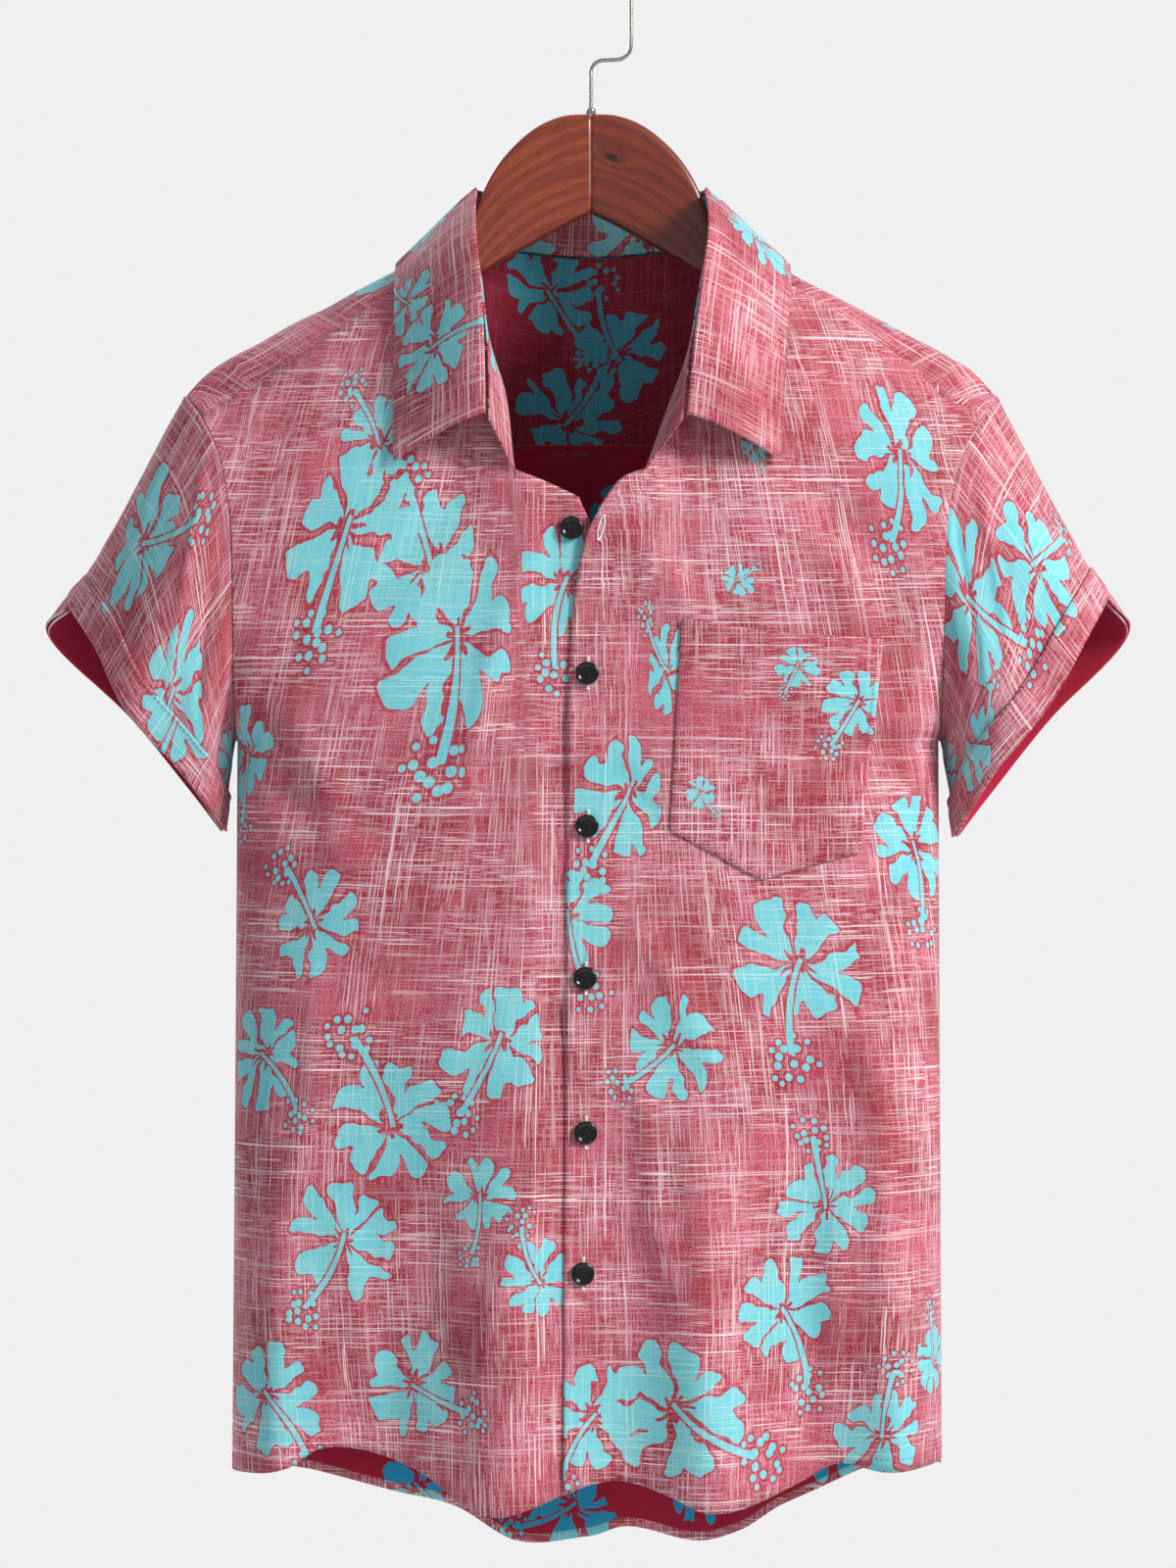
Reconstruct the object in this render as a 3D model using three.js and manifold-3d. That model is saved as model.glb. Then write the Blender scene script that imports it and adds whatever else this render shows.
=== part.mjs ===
import * as THREE from 'three';
import { mergeVertices } from 'three/addons/utils/BufferGeometryUtils.js';
import Module from 'manifold-3d';

// Short-sleeved hawaiian shirt hung on a wooden hanger with a wire hook.
// Millimetres, +Z up, the buttoned front faces -Y, the wearer's left is +X.
// The origin is the inner top of the hook, where it bears on a rod.

// Driving sizes
const CLOTH = 1.2;            // wall of every cloth piece
const SEAM = 0.4;             // gap left at a seam
const LAY = 0.4;              // gap under a piece that lies on another
const FRONT_DEPTH = 64;       // chest, from the side seams forward
const BACK_DEPTH = 60;        // shoulder blades, from the side seams back
const ROUND = 2.6;            // squareness of the body's section
const DROP_LENGTH = 75;       // how fast the cloth falls away from the shoulder ridge
const NECK_HEIGHT = -131;     // ridge at the centre, before the neck is cut
const SHOULDER_SLOPE = 0.55;
const SHOULDER_TIP = 226;
const TIP_HEIGHT = -247.8;
const PIT_HEIGHT = -440;
const ARMHOLE_DEPTH = 46;
const BACK_SEAM = -276;       // yoke seam across the back
const CUFF_WIDTH = 20;
const BUTTON_RADIUS = 6.5;
const BUTTON_THICK = 2.6;
const WIRE = 1.15;            // radius of the hook's wire
const HOOK_BEND = 22.5;       // radius of the hook's arc at the middle of the wire

// Edge of the body at each height: armhole above the pit, side seam below it
const EDGE = [
  { z: -247.8, left: -226, right: 226 },
  { z: -262, left: -215, right: 216 },
  { z: -283, left: -205, right: 204.5 },
  { z: -305, left: -200, right: 198 },
  { z: -330, left: -197.5, right: 195.5 },
  { z: -370, left: -197, right: 194.5 },
  { z: -440, left: -197.5, right: 194.2 },
  { z: -600, left: -198.5, right: 194.8 },
  { z: -870, left: -200.5, right: 196 },
];

// Neck seam and collar fold, from the wearer's right front round the back to the left front
// at: station, x and z of the seam, side of the ridge (-1 front, 1 back)
// fx, fy, fz: from the seam to the fold. ox, oz: edge of the leaf. lift: leaf edge over the body
const NECK = [
  { at: 0, x: -42.4, z: -293.4, side: -1, fx: -14, fy: -18, fz: 28, ox: -108.5, oz: -287.5, lift: 5 },
  { at: 1, x: -48, z: -249, side: -1, fx: -9, fy: -24, fz: 18, ox: -109, oz: -248, lift: 4 },
  { at: 2, x: -62, z: -217, side: -1, fx: 2, fy: -22, fz: 23, ox: -109, oz: -218, lift: 4 },
  { at: 3, x: -74.5, z: -186, side: -1, fx: 10.5, fy: -18, fz: 24, ox: -109, oz: -192, lift: 5.5 },
  { at: 4, x: -81, z: -162, side: 0, fx: 16, fy: -4, fz: 26, ox: -109, oz: -172.5, lift: 2 },
  { at: 5, x: -74, z: -160.5, side: 1, fx: 11, fy: -3, fz: 27, ox: -100, oz: -184, lift: 5.5 },
  { at: 6, x: -46, z: -163, side: 1, fx: 6, fy: -5, fz: 30, ox: -62, oz: -186, lift: 5 },
  { at: 7, x: 0, z: -166, side: 1, fx: 0, fy: -4, fz: 32, ox: 0, oz: -183, lift: 5 },
  { at: 8, x: 46, z: -163, side: 1, fx: -6, fy: -5, fz: 30, ox: 62, oz: -186, lift: 5 },
  { at: 9, x: 74, z: -160.5, side: 1, fx: -11, fy: -3, fz: 27, ox: 100, oz: -184, lift: 5.5 },
  { at: 10, x: 81, z: -162, side: 0, fx: -16, fy: -4, fz: 26, ox: 111, oz: -173, lift: 2 },
  { at: 11, x: 74.5, z: -186, side: -1, fx: -9.5, fy: -18, fz: 24, ox: 111, oz: -192, lift: 5.5 },
  { at: 12, x: 61, z: -217, side: -1, fx: -1.5, fy: -22, fz: 21, ox: 108, oz: -220, lift: 4 },
  { at: 13, x: 46.5, z: -249, side: -1, fx: 8, fy: -25, fz: 18, ox: 107, oz: -250, lift: 4 },
  { at: 14, x: 30.1, z: -292.9, side: -1, fx: 20.5, fy: -18, fz: 27, ox: 104, oz: -286.5, lift: 5 },
];

// Forward yoke seam: how far below the ridge it runs
const YOKE_FRONT = [
  { x: -220, drop: 27 },
  { x: -170, drop: 27 },
  { x: -79.5, drop: 15 },
  { x: 79.5, drop: 13 },
  { x: 135, drop: 16 },
  { x: 170, drop: 22 },
  { x: 220, drop: 27 },
];

// Front edges: the overlapping edge rolls open above the first closed button
// t is the share of the way down, x is across
const EDGE_OVER = [
  { t: 0, x: 3.8 },
  { t: 0.02, x: -1.6 },
  { t: 0.06, x: -7 },
  { t: 0.13, x: -11.3 },
  { t: 0.22, x: -12.9 },
  { t: 1, x: -15 },
];
const EDGE_UNDER = [
  { t: 0, x: -6 },
  { t: 0.04, x: 3 },
  { t: 0.12, x: 8 },
  { t: 0.22, x: 10 },
  { t: 1, x: 9 },
];
// Top of each front from its edge to the end of the collar stand
const LAPEL_OVER = [
  { u: 0, x: 3.8, z: -315.4 },
  { u: 0.5, x: 15.6, z: -299.3 },
  { u: 1, x: 30.1, z: -292.9 },
];
const LAPEL_UNDER = [
  { u: 0, x: -6, z: -309 },
  { u: 0.5, x: -24, z: -300.5 },
  { u: 1, x: -42.4, z: -293.4 },
];

// Hem lines, in height along the width
const HEM_FRONT = [
  { x: -201, z: -846 },
  { x: -166, z: -840 },
  { x: -150, z: -831 },
  { x: -124, z: -832 },
  { x: -92, z: -840 },
  { x: -67, z: -863 },
  { x: -50, z: -868 },
  { x: -27, z: -863 },
  { x: 0, z: -852 },
  { x: 20, z: -848 },
  { x: 43, z: -857 },
  { x: 63, z: -865 },
  { x: 85, z: -858 },
  { x: 115, z: -844 },
  { x: 136, z: -835 },
  { x: 160, z: -842 },
  { x: 197, z: -843 },
];
const HEM_BACK = [
  { x: -201, z: -846 },
  { x: -157, z: -858 },
  { x: -115, z: -868 },
  { x: -80, z: -877 },
  { x: -44, z: -897 },
  { x: 0, z: -894 },
  { x: 20, z: -890 },
  { x: 62, z: -898 },
  { x: 86, z: -891 },
  { x: 110, z: -875 },
  { x: 155, z: -855 },
  { x: 197, z: -844 },
];

// Hanging folds: where, half width, swell at the hem, height where it starts, slant
const FOLDS_FRONT = [
  { x: -178, wide: 16, out: 9, from: -520, slant: 0.02 },
  { x: -122, wide: 34, out: -15, from: -480, slant: 0.05 },
  { x: -50, wide: 26, out: 13, from: -430, slant: 0.04 },
  { x: 18, wide: 20, out: -5, from: -560, slant: 0 },
  { x: 66, wide: 22, out: 12, from: -500, slant: -0.03 },
  { x: 124, wide: 28, out: -14, from: -470, slant: -0.05 },
  { x: 172, wide: 18, out: 9, from: -420, slant: -0.03 },
];
const FOLDS_BACK = [
  { x: -160, wide: 22, out: 9, from: -430, slant: 0.03 },
  { x: -108, wide: 30, out: -13, from: -420, slant: 0.05 },
  { x: -48, wide: 26, out: 12, from: -330, slant: 0.04 },
  { x: 12, wide: 20, out: -9, from: -380, slant: 0 },
  { x: 68, wide: 24, out: 12, from: -350, slant: -0.04 },
  { x: 122, wide: 26, out: -12, from: -460, slant: -0.05 },
  { x: 168, wide: 20, out: 8, from: -500, slant: -0.02 },
];
// The loose pleat let in under the yoke at the centre of the back
const PLEAT = { wide: 9, out: 5, length: 330 };

// Sleeve opening of the wearer's left sleeve, round from the top over the front
const CUFF_LEFT = [
  { turn: 0, x: 288, y: 2, z: -362 },
  { turn: 45, x: 275, y: -31, z: -381 },
  { turn: 90, x: 255, y: -43, z: -417 },
  { turn: 135, x: 223, y: -33, z: -459 },
  { turn: 180, x: 204, y: 0, z: -494 },
  { turn: 225, x: 225, y: 32, z: -472 },
  { turn: 270, x: 261, y: 42, z: -428 },
  { turn: 315, x: 302, y: 26, z: -383 },
];
const CUFF_RIGHT = [
  { turn: 0, x: -291, y: 2, z: -366 },
  { turn: 45, x: -272, y: -31, z: -392 },
  { turn: 90, x: -254, y: -43, z: -427 },
  { turn: 135, x: -226, y: -33, z: -459 },
  { turn: 180, x: -206, y: 0, z: -491 },
  { turn: 225, x: -225, y: 32, z: -471 },
  { turn: 270, x: -262, y: 42, z: -427 },
  { turn: 315, x: -305, y: 24, z: -383 },
];

// Hanger arm from the centre out: top and bottom edges, thickness, forward bow
const ARM = [
  { x: 0.15, top: -89, bottom: -144.6, thick: 14, y: 0 },
  { x: 16, top: -90.3, bottom: -152.5, thick: 14, y: -0.2 },
  { x: 32, top: -97.5, bottom: -161.5, thick: 14, y: -0.8 },
  { x: 48, top: -112, bottom: -170.5, thick: 14, y: -1.7 },
  { x: 58, top: -127, bottom: -176.5, thick: 14, y: -2.3 },
  { x: 66, top: -146, bottom: -181.5, thick: 14, y: -2.9 },
  { x: 73, top: -161, bottom: -187, thick: 14, y: -3.3 },
  { x: 79, top: -169, bottom: -192, thick: 14, y: -3.6 },
  { x: 90, top: -176, bottom: -201, thick: 14, y: -4.2 },
  { x: 130, top: -195, bottom: -222, thick: 13, y: -6.3 },
  { x: 175, top: -219, bottom: -244, thick: 12, y: -8.4 },
  { x: 204, top: -238, bottom: -258, thick: 9, y: -8.6 },
  { x: 210, top: -244, bottom: -259, thick: 7, y: -9 },
];

// Buttons down the front; the first one sits on the under edge and is left undone
const BUTTONS = [
  { name: 'button_1', x: -10.7, z: -324.6, under: true },
  { name: 'button_2', x: -2.1, z: -404.1, under: false },
  { name: 'button_3', x: -2.1, z: -487.8, under: false },
  { name: 'button_4', x: -3.2, z: -571, under: false },
  { name: 'button_5', x: -3.2, z: -655.2, under: false },
  { name: 'button_6', x: -4.8, z: -732, under: false },
];

// Pocket outline: top edge and lower edge with its point, across the width
const POCKET = [
  { u: 0, topx: 49.4, topz: -373.9, lowx: 43, lowz: -490 },
  { u: 0.5, topx: 98.3, topz: -381.4, lowx: 93, lowz: -517.4 },
  { u: 1, topx: 160.7, topz: -385.2, lowx: 147.8, lowz: -502.3 },
];

// Materials
const crimson = (name) => new THREE.MeshStandardMaterial({ name, color: 0xb8506e, roughness: 0.85, metalness: 0 });
const wood = (name) => new THREE.MeshStandardMaterial({ name, color: 0x7a2e1c, roughness: 0.35, metalness: 0 });
const nickel = (name) => new THREE.MeshStandardMaterial({ name, color: 0xb9b0a2, roughness: 0.25, metalness: 1 });
const black = (name) => new THREE.MeshStandardMaterial({ name, color: 0x08080a, roughness: 0.2, metalness: 0 });

const group = new THREE.Group();
group.name = 'hawaiian_shirt';

// Number helpers
const mix = (a, b, t) => a + (b - a) * t;
const step = (a, b, v) => {
  const t = Math.min(1, Math.max(0, (v - a) / (b - a)));
  return t * t * (3 - 2 * t);
};

// Smooth reading of a table: rows in order of the key, values by rounded interpolation
function read(rows, key, value, at) {
  const sign = Math.sign(rows[rows.length - 1][key] - rows[0][key]);
  const p = at * sign;
  let i = 0;
  while (i < rows.length - 2 && p > rows[i + 1][key] * sign) i += 1;
  const k0 = rows[i][key] * sign;
  const k1 = rows[i + 1][key] * sign;
  const t = Math.min(1, Math.max(0, (p - k0) / (k1 - k0)));
  const v0 = rows[i][value];
  const v1 = rows[i + 1][value];
  const gap = k1 - k0;
  const before = i > 0 ? (v1 - rows[i - 1][value]) / (k1 - rows[i - 1][key] * sign) : (v1 - v0) / gap;
  const after = i < rows.length - 2
    ? (rows[i + 2][value] - v0) / (rows[i + 2][key] * sign - k0)
    : (v1 - v0) / gap;
  const a = 2 * t ** 3 - 3 * t ** 2 + 1;
  const b = t ** 3 - 2 * t ** 2 + t;
  const c = -2 * t ** 3 + 3 * t ** 2;
  const d = t ** 3 - t ** 2;
  return a * v0 + b * gap * before + c * v1 + d * gap * after;
}

// The body's shell: ridge line, armhole and section
const ridge = (x) => NECK_HEIGHT
  - SHOULDER_SLOPE * (Math.sqrt(x * x + 900) - 30)
  - 0.018 * Math.max(0, Math.abs(x) - 205) ** 2;
const ridgeForward = (x) => -10 * (x / SHOULDER_TIP) ** 2;
const PIT_MIDDLE = (TIP_HEIGHT + PIT_HEIGHT) / 2;
const PIT_HALF = (TIP_HEIGHT - PIT_HEIGHT) / 2;
const armDepth = (z) => {
  const v = (z - PIT_MIDDLE) / PIT_HALF;
  return Math.abs(v) < 1 ? ARMHOLE_DEPTH * Math.sqrt(1 - v * v) : 0;
};
const edgeAt = (z, hand) => {
  const height = Math.min(TIP_HEIGHT, z);
  return hand < 0 ? read(EDGE, 'z', 'left', height) : read(EDGE, 'z', 'right', height);
};

function foldSwell(rows, x, z) {
  let swell = 0;
  for (const fold of rows) {
    const strength = step(fold.from, -860, z) ** 1.2;
    const centre = fold.x + fold.slant * (z + 860);
    swell += fold.out * strength * Math.exp(-(((x - centre) / fold.wide) ** 2));
  }
  return swell;
}

// Point of the body's outer face; side is -1 for the front and 1 for the back
function body(x, z, side, inset = 0) {
  const edge = edgeAt(z, x);
  const s = Math.min(1, Math.abs(x / edge));
  const sleeved = 1 - step(-365, PIT_HEIGHT, z);
  const round = (1 - s ** mix(ROUND, 4, sleeved)) ** mix(1 / ROUND, 1, sleeved);
  const drop = Math.max(0, ridge(x) - z);
  const deep = (side < 0 ? FRONT_DEPTH : BACK_DEPTH) + 10 * step(-450, -860, z);
  const centre = deep * Math.sqrt(1 - Math.exp(-drop / DROP_LENGTH));
  const arm = armDepth(z);
  let y = arm + (centre - arm) * round;
  const folds = foldSwell(side < 0 ? FOLDS_FRONT : FOLDS_BACK, x, z);
  const near = Math.min(1, round * 1.6);
  y += folds * near;
  if (side > 0) {
    const fade = step(BACK_SEAM + 2, BACK_SEAM - 18, z) * (1 - step(BACK_SEAM, BACK_SEAM - PLEAT.length, z));
    y += PLEAT.out * fade * Math.exp(-((x / PLEAT.wide) ** 2));
  }
  return new THREE.Vector3(x, side * (y - inset) + ridgeForward(x), z);
}

// A closed solid from a grid of outer points: rows of equal length, wall laid inwards
function shellGeometry(rows, wall, around = false, outward = null) {
  const nj = rows.length;
  const ni = rows[0].length;
  const at = (j, i) => rows[Math.min(nj - 1, Math.max(0, j))][around ? (i + ni) % ni : Math.min(ni - 1, Math.max(0, i))];
  const normals = rows.map((row, j) => row.map((p, i) => {
    const du = at(j, i + 1).clone().sub(at(j, i - 1));
    const dv = at(j + 1, i).clone().sub(at(j - 1, i));
    return du.cross(dv).normalize();
  }));
  if (outward) {
    let score = 0;
    rows.forEach((row, j) => row.forEach((p, i) => {
      score += normals[j][i].dot(outward(p)) || 0;
    }));
    if (score < 0) {
      normals.forEach((row) => row.forEach((n) => n.negate()));
    }
  }
  const position = [];
  for (const row of rows) {
    for (const p of row) position.push(p.x, p.y, p.z);
  }
  rows.forEach((row, j) => row.forEach((p, i) => {
    const q = p.clone().addScaledVector(normals[j][i], -wall);
    position.push(q.x, q.y, q.z);
  }));
  const outer = (j, i) => j * ni + (around ? (i + ni) % ni : i);
  const inner = (j, i) => nj * ni + outer(j, i);
  const index = [];
  const quad = (a, b, c, d) => index.push(a, b, c, a, c, d);
  const columns = around ? ni : ni - 1;
  for (let j = 0; j < nj - 1; j += 1) {
    for (let i = 0; i < columns; i += 1) {
      quad(outer(j, i), outer(j, i + 1), outer(j + 1, i + 1), outer(j + 1, i));
      quad(inner(j, i), inner(j + 1, i), inner(j + 1, i + 1), inner(j, i + 1));
    }
  }
  for (let i = 0; i < columns; i += 1) {
    quad(outer(0, i + 1), outer(0, i), inner(0, i), inner(0, i + 1));
    quad(outer(nj - 1, i), outer(nj - 1, i + 1), inner(nj - 1, i + 1), inner(nj - 1, i));
  }
  if (!around) {
    for (let j = 0; j < nj - 1; j += 1) {
      quad(outer(j, 0), outer(j + 1, 0), inner(j + 1, 0), inner(j, 0));
      quad(outer(j + 1, ni - 1), outer(j, ni - 1), inner(j, ni - 1), inner(j + 1, ni - 1));
    }
  }
  return closedGeometry(position, index);
}

// Index order is turned about when the mesh comes out inside out
function closedGeometry(position, index) {
  let volume = 0;
  for (let k = 0; k < index.length; k += 3) {
    const [a, b, c] = [0, 1, 2].map((n) => new THREE.Vector3().fromArray(position, index[k + n] * 3));
    volume += a.dot(b.cross(c));
  }
  if (volume < 0) {
    for (let k = 0; k < index.length; k += 3) {
      [index[k], index[k + 1]] = [index[k + 1], index[k]];
    }
  }
  const geometry = new THREE.BufferGeometry();
  geometry.setAttribute('position', new THREE.Float32BufferAttribute(position, 3));
  geometry.setIndex(index);
  geometry.computeVertexNormals();
  return geometry;
}

// A closed solid from a run of closed rings, with flat ends
function ringGeometry(rings) {
  const ni = rings[0].length;
  const position = [];
  for (const ring of rings) {
    for (const p of ring) position.push(p.x, p.y, p.z);
  }
  const index = [];
  for (let j = 0; j < rings.length - 1; j += 1) {
    for (let i = 0; i < ni; i += 1) {
      const a = j * ni + i;
      const b = j * ni + ((i + 1) % ni);
      index.push(a, b, b + ni, a, b + ni, a + ni);
    }
  }
  const last = (rings.length - 1) * ni;
  for (let i = 1; i < ni - 1; i += 1) {
    index.push(0, i + 1, i);
    index.push(last, last + i, last + i + 1);
  }
  return closedGeometry(position, index);
}

function add(name, geometry, material) {
  const mesh = new THREE.Mesh(geometry, material);
  mesh.name = name;
  group.add(mesh);
  return mesh;
}

// Patch ruled from its top to its bottom; bow(c, t) bends the columns sideways and down
function patch(top, bottom, bow, columns, rows) {
  return rows.map((t) => columns.map((c) => {
    const a = top(c);
    const b = bottom(c);
    const off = bow(c, t);
    return [mix(a[0], b[0], t) + off[0], mix(a[1], b[1], t) + off[1]];
  }));
}
// How far an edge strays from the straight line between its ends
const stray = (line) => (t) => {
  const a = line(0);
  const b = line(1);
  const p = line(t);
  return [p[0] - mix(a[0], b[0], t), p[1] - mix(a[1], b[1], t)];
};
const even = (n) => Array.from({ length: n + 1 }, (_, k) => k / n);
const denseEnd = (n) => even(n).map((k) => Math.sin((Math.PI / 2) * k));
const denseBoth = (n) => even(n).map((k) => (1 - Math.cos(Math.PI * k)) / 2);
const fromAxis = (p) => new THREE.Vector3(p.x * 0.3, p.y, 0).normalize();

// Neck seam at a station, and the station where the forward yoke seam meets it
const neckSeam = (at) => ({ x: read(NECK, 'at', 'x', at), z: read(NECK, 'at', 'z', at) });
function yokeStation(hand, gap = 0) {
  let low = hand > 0 ? 10 : 4;
  let high = hand > 0 ? 11 : 3;
  for (let k = 0; k < 40; k += 1) {
    const middle = (low + high) / 2;
    const { x, z } = neckSeam(middle);
    if (ridge(x) - z < read(YOKE_FRONT, 'x', 'drop', x) + gap) low = middle;
    else high = middle;
  }
  return low;
}

// Fronts: hand is -1 for the wearer's right front and 1 for the left front
function frontPanel(hand) {
  const over = hand > 0;
  const edgeRows = over ? EDGE_OVER : EDGE_UNDER;
  const lapel = over ? LAPEL_OVER : LAPEL_UNDER;
  const endStation = over ? 14 : 0;
  const seamStation = yokeStation(hand, SEAM);
  const seamX = neckSeam(seamStation).x;
  const topEnd = armholeCorner(hand, YOKE_FRONT[over ? 6 : 0].drop + SEAM);
  const top = (c) => {
    if (c <= 0.08) return [read(lapel, 'u', 'x', c / 0.08), read(lapel, 'u', 'z', c / 0.08)];
    if (c <= 0.36) {
      const { x, z } = neckSeam(mix(endStation, seamStation, (c - 0.08) / 0.28));
      return [x, z];
    }
    const x = mix(seamX, topEnd.x, (c - 0.36) / 0.64);
    const drop = read(YOKE_FRONT, 'x', 'drop', x) + SEAM;
    return [x, mix(ridge(x) - drop, topEnd.z, Math.max(0, (c - 0.9) / 0.1))];
  };
  const hemEdge = edgeAt(-850, hand);
  const bottom = (c) => {
    const x = mix(edgeRows[edgeRows.length - 1].x, hemEdge, c);
    return [x, read(HEM_FRONT, 'x', 'z', x)];
  };
  const inner = stray((t) => [read(edgeRows, 't', 'x', t), t]);
  const outer = stray((t) => {
    const z = mix(topEnd.z, bottom(1)[1], t);
    return [edgeAt(z, hand), z];
  });
  const bow = (c, t) => [inner(t)[0] * Math.max(0, 1 - c / 0.12) ** 1.5 + outer(t)[0] * c ** 3, 0];
  const columns = [0, 0.027, 0.054, 0.08, 0.115, 0.15, 0.185, 0.22, 0.255, 0.29, 0.325, 0.36].concat(
    denseEnd(15).filter((c) => c > 0.41),
  );
  const rows = [0, 0.02, 0.04, 0.06, 0.09, 0.13, 0.17, 0.22].concat(even(15).slice(1).map((k) => mix(0.22, 1, k)));
  const grid = patch(top, bottom, bow, columns, rows);
  return grid.map((row, j) => row.map(([x, z], i) => {
    const lastColumn = i === row.length - 1;
    const px = lastColumn ? edgeAt(z, hand) : x;
    return frontPoint(px, z, over);
  }));
}

// Face of a front at a place; the under front dips below the other where they lap
function frontPoint(x, z, over, raise = 0) {
  const dip = over ? 0 : (CLOTH + LAY + 0.1) * step(-34, -20, x);
  const open = step(-390, -300, z) * (1 - step(10, 50, Math.abs(x - (over ? 6 : -24))));
  const roll = over ? 7 * open : 3.5 * open;
  const p = body(x, z, -1, dip - roll - raise);
  p.y -= SEAM / 2;
  return p;
}

// Point of the armhole edge at a drop below the ridge
function armholeCorner(hand, drop) {
  let x = hand * SHOULDER_TIP;
  for (let k = 0; k < 60; k += 1) x = mix(x, edgeAt(ridge(x) - drop, hand), 0.4);
  return { x, z: ridge(x) - drop };
}

add('front_right', shellGeometry(frontPanel(-1), CLOTH, false, fromAxis), crimson('front_right'));
const leftFront = frontPanel(1);
add('front_left', shellGeometry(leftFront, CLOTH, false, fromAxis), crimson('front_left'));

// Back, from the yoke seam to the tail
function backPanel() {
  const z0 = BACK_SEAM - SEAM;
  const top = (c) => [mix(edgeAt(z0, -1), edgeAt(z0, 1), c), z0];
  const bottom = (c) => {
    const x = mix(edgeAt(-850, -1), edgeAt(-850, 1), c);
    return [x, read(HEM_BACK, 'x', 'z', x)];
  };
  const side = (hand) => stray((t) => [edgeAt(mix(z0, bottom(hand < 0 ? 0 : 1)[1], t), hand), 0]);
  const bow = (c, t) => [side(-1)(t)[0] * (1 - c) ** 3 + side(1)(t)[0] * c ** 3, 0];
  const grid = patch(top, bottom, bow, denseBoth(32), even(20));
  return grid.map((row) => row.map(([x, z], i) => {
    const px = i === 0 ? edgeAt(z, -1) : i === row.length - 1 ? edgeAt(z, 1) : x;
    const p = body(px, z, 1);
    p.y += SEAM / 2;
    return p;
  }));
}
add('back', shellGeometry(backPanel(), CLOTH, false, fromAxis), crimson('back'));

// Yoke, over both shoulders: across the width, and by the root of the drop below the ridge
function yokePanel() {
  const root = (v) => Math.sign(v) * Math.sqrt(Math.abs(v));
  const backDrop = (x) => root(ridge(x) - BACK_SEAM);
  const corner = (hand, w) => armholeCorner(hand, w * w).x;
  const frontRoot = (hand) => -root(read(YOKE_FRONT, 'x', 'drop', hand * 220));
  const backRoot = (hand) => {
    const x = edgeAt(BACK_SEAM, hand);
    return root(ridge(x) - BACK_SEAM);
  };
  const startRight = yokeStation(-1);
  const startLeft = yokeStation(1);
  const stationAt = (c) => {
    if (c < 0.3) return mix(startRight, 4, (c - 0.27) / 0.03);
    if (c > 0.7) return mix(10, startLeft, (c - 0.7) / 0.03);
    return mix(4, 10, (c - 0.3) / 0.4);
  };
  const top = (c) => {
    if (c <= 0.27 || c >= 0.73) {
      const x = c <= 0.27
        ? mix(corner(-1, frontRoot(-1)), neckSeam(startRight).x, c / 0.27)
        : mix(neckSeam(startLeft).x, corner(1, frontRoot(1)), (c - 0.73) / 0.27);
      return [x, -root(read(YOKE_FRONT, 'x', 'drop', x))];
    }
    const at = stationAt(c);
    const { x, z } = neckSeam(at);
    const side = at < 4 || at > 10 ? -1 : 1;
    return [x, side * root(Math.max(0, ridge(x) - z))];
  };
  const bottom = (c) => {
    const x = mix(edgeAt(BACK_SEAM, -1), edgeAt(BACK_SEAM, 1), c);
    return [x, backDrop(x)];
  };
  const side = (hand) => stray((t) => {
    const w = mix(frontRoot(hand), backRoot(hand), t);
    return [corner(hand, w), w];
  });
  const bow = (c, t) => [side(-1)(t)[0] * (1 - c) ** 3 + side(1)(t)[0] * c ** 3, 0];
  const columns = [0, 0.02, 0.05, 0.09, 0.135, 0.18, 0.225, 0.27, 0.3, 0.333, 0.367, 0.4, 0.45, 0.5];
  const all = columns.concat(columns.slice(0, -1).reverse().map((c) => 1 - c));
  const grid = patch(top, bottom, bow, all, even(11));
  return grid.map((row) => row.map(([x, w], i) => {
    const hand = i === 0 ? -1 : i === row.length - 1 ? 1 : 0;
    const px = hand ? corner(hand, w) : x;
    const z = ridge(px) - w * w;
    return body(px, z, w < 0 ? -1 : 1);
  }));
}
add('yoke', shellGeometry(yokePanel(), CLOTH, false, (p) => new THREE.Vector3(0, p.y, 30).normalize()), crimson('yoke'));

// Sleeves: rings from the armhole to the opening
function sleeveRings(hand, startGap, steps) {
  const cuff = hand > 0 ? CUFF_LEFT : CUFF_RIGHT;
  const closed = cuff.concat([{ ...cuff[0], turn: 360 }]);
  return steps.map((r) => even(24).slice(0, -1).map((k) => {
    const turn = k * Math.PI * 2;
    const z = PIT_MIDDLE + PIT_HALF * Math.cos(turn);
    const x = edgeAt(z, hand);
    const y = -ARMHOLE_DEPTH * Math.sin(turn) + ridgeForward(x);
    const low = (1 - Math.cos(turn)) / 2;
    const start = new THREE.Vector3(x + hand * (startGap + 0.6 * low), y, z - startGap * low);
    const end = new THREE.Vector3(
      read(closed, 'turn', 'x', k * 360),
      read(closed, 'turn', 'y', k * 360) + ridgeForward(SHOULDER_TIP),
      read(closed, 'turn', 'z', k * 360),
    );
    const p = start.clone().lerp(end, r);
    const front = Math.max(0, Math.sin(turn));
    const back = Math.max(0, -Math.sin(turn));
    const swell = Math.sin(Math.PI * Math.min(1, r));
    p.y += -5 * front * swell + 4 * back * swell;
    p.y += 4 * front * swell * Math.sin(5 * turn + 1.2 * hand);
    p.y += 3 * back * swell * Math.sin(4 * turn - 0.7);
    return p;
  }));
}
const sleeveOut = (hand) => (p) => {
  const axis = new THREE.Vector3(hand * 236, -10, -400);
  return p.clone().sub(axis).normalize();
};
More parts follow.
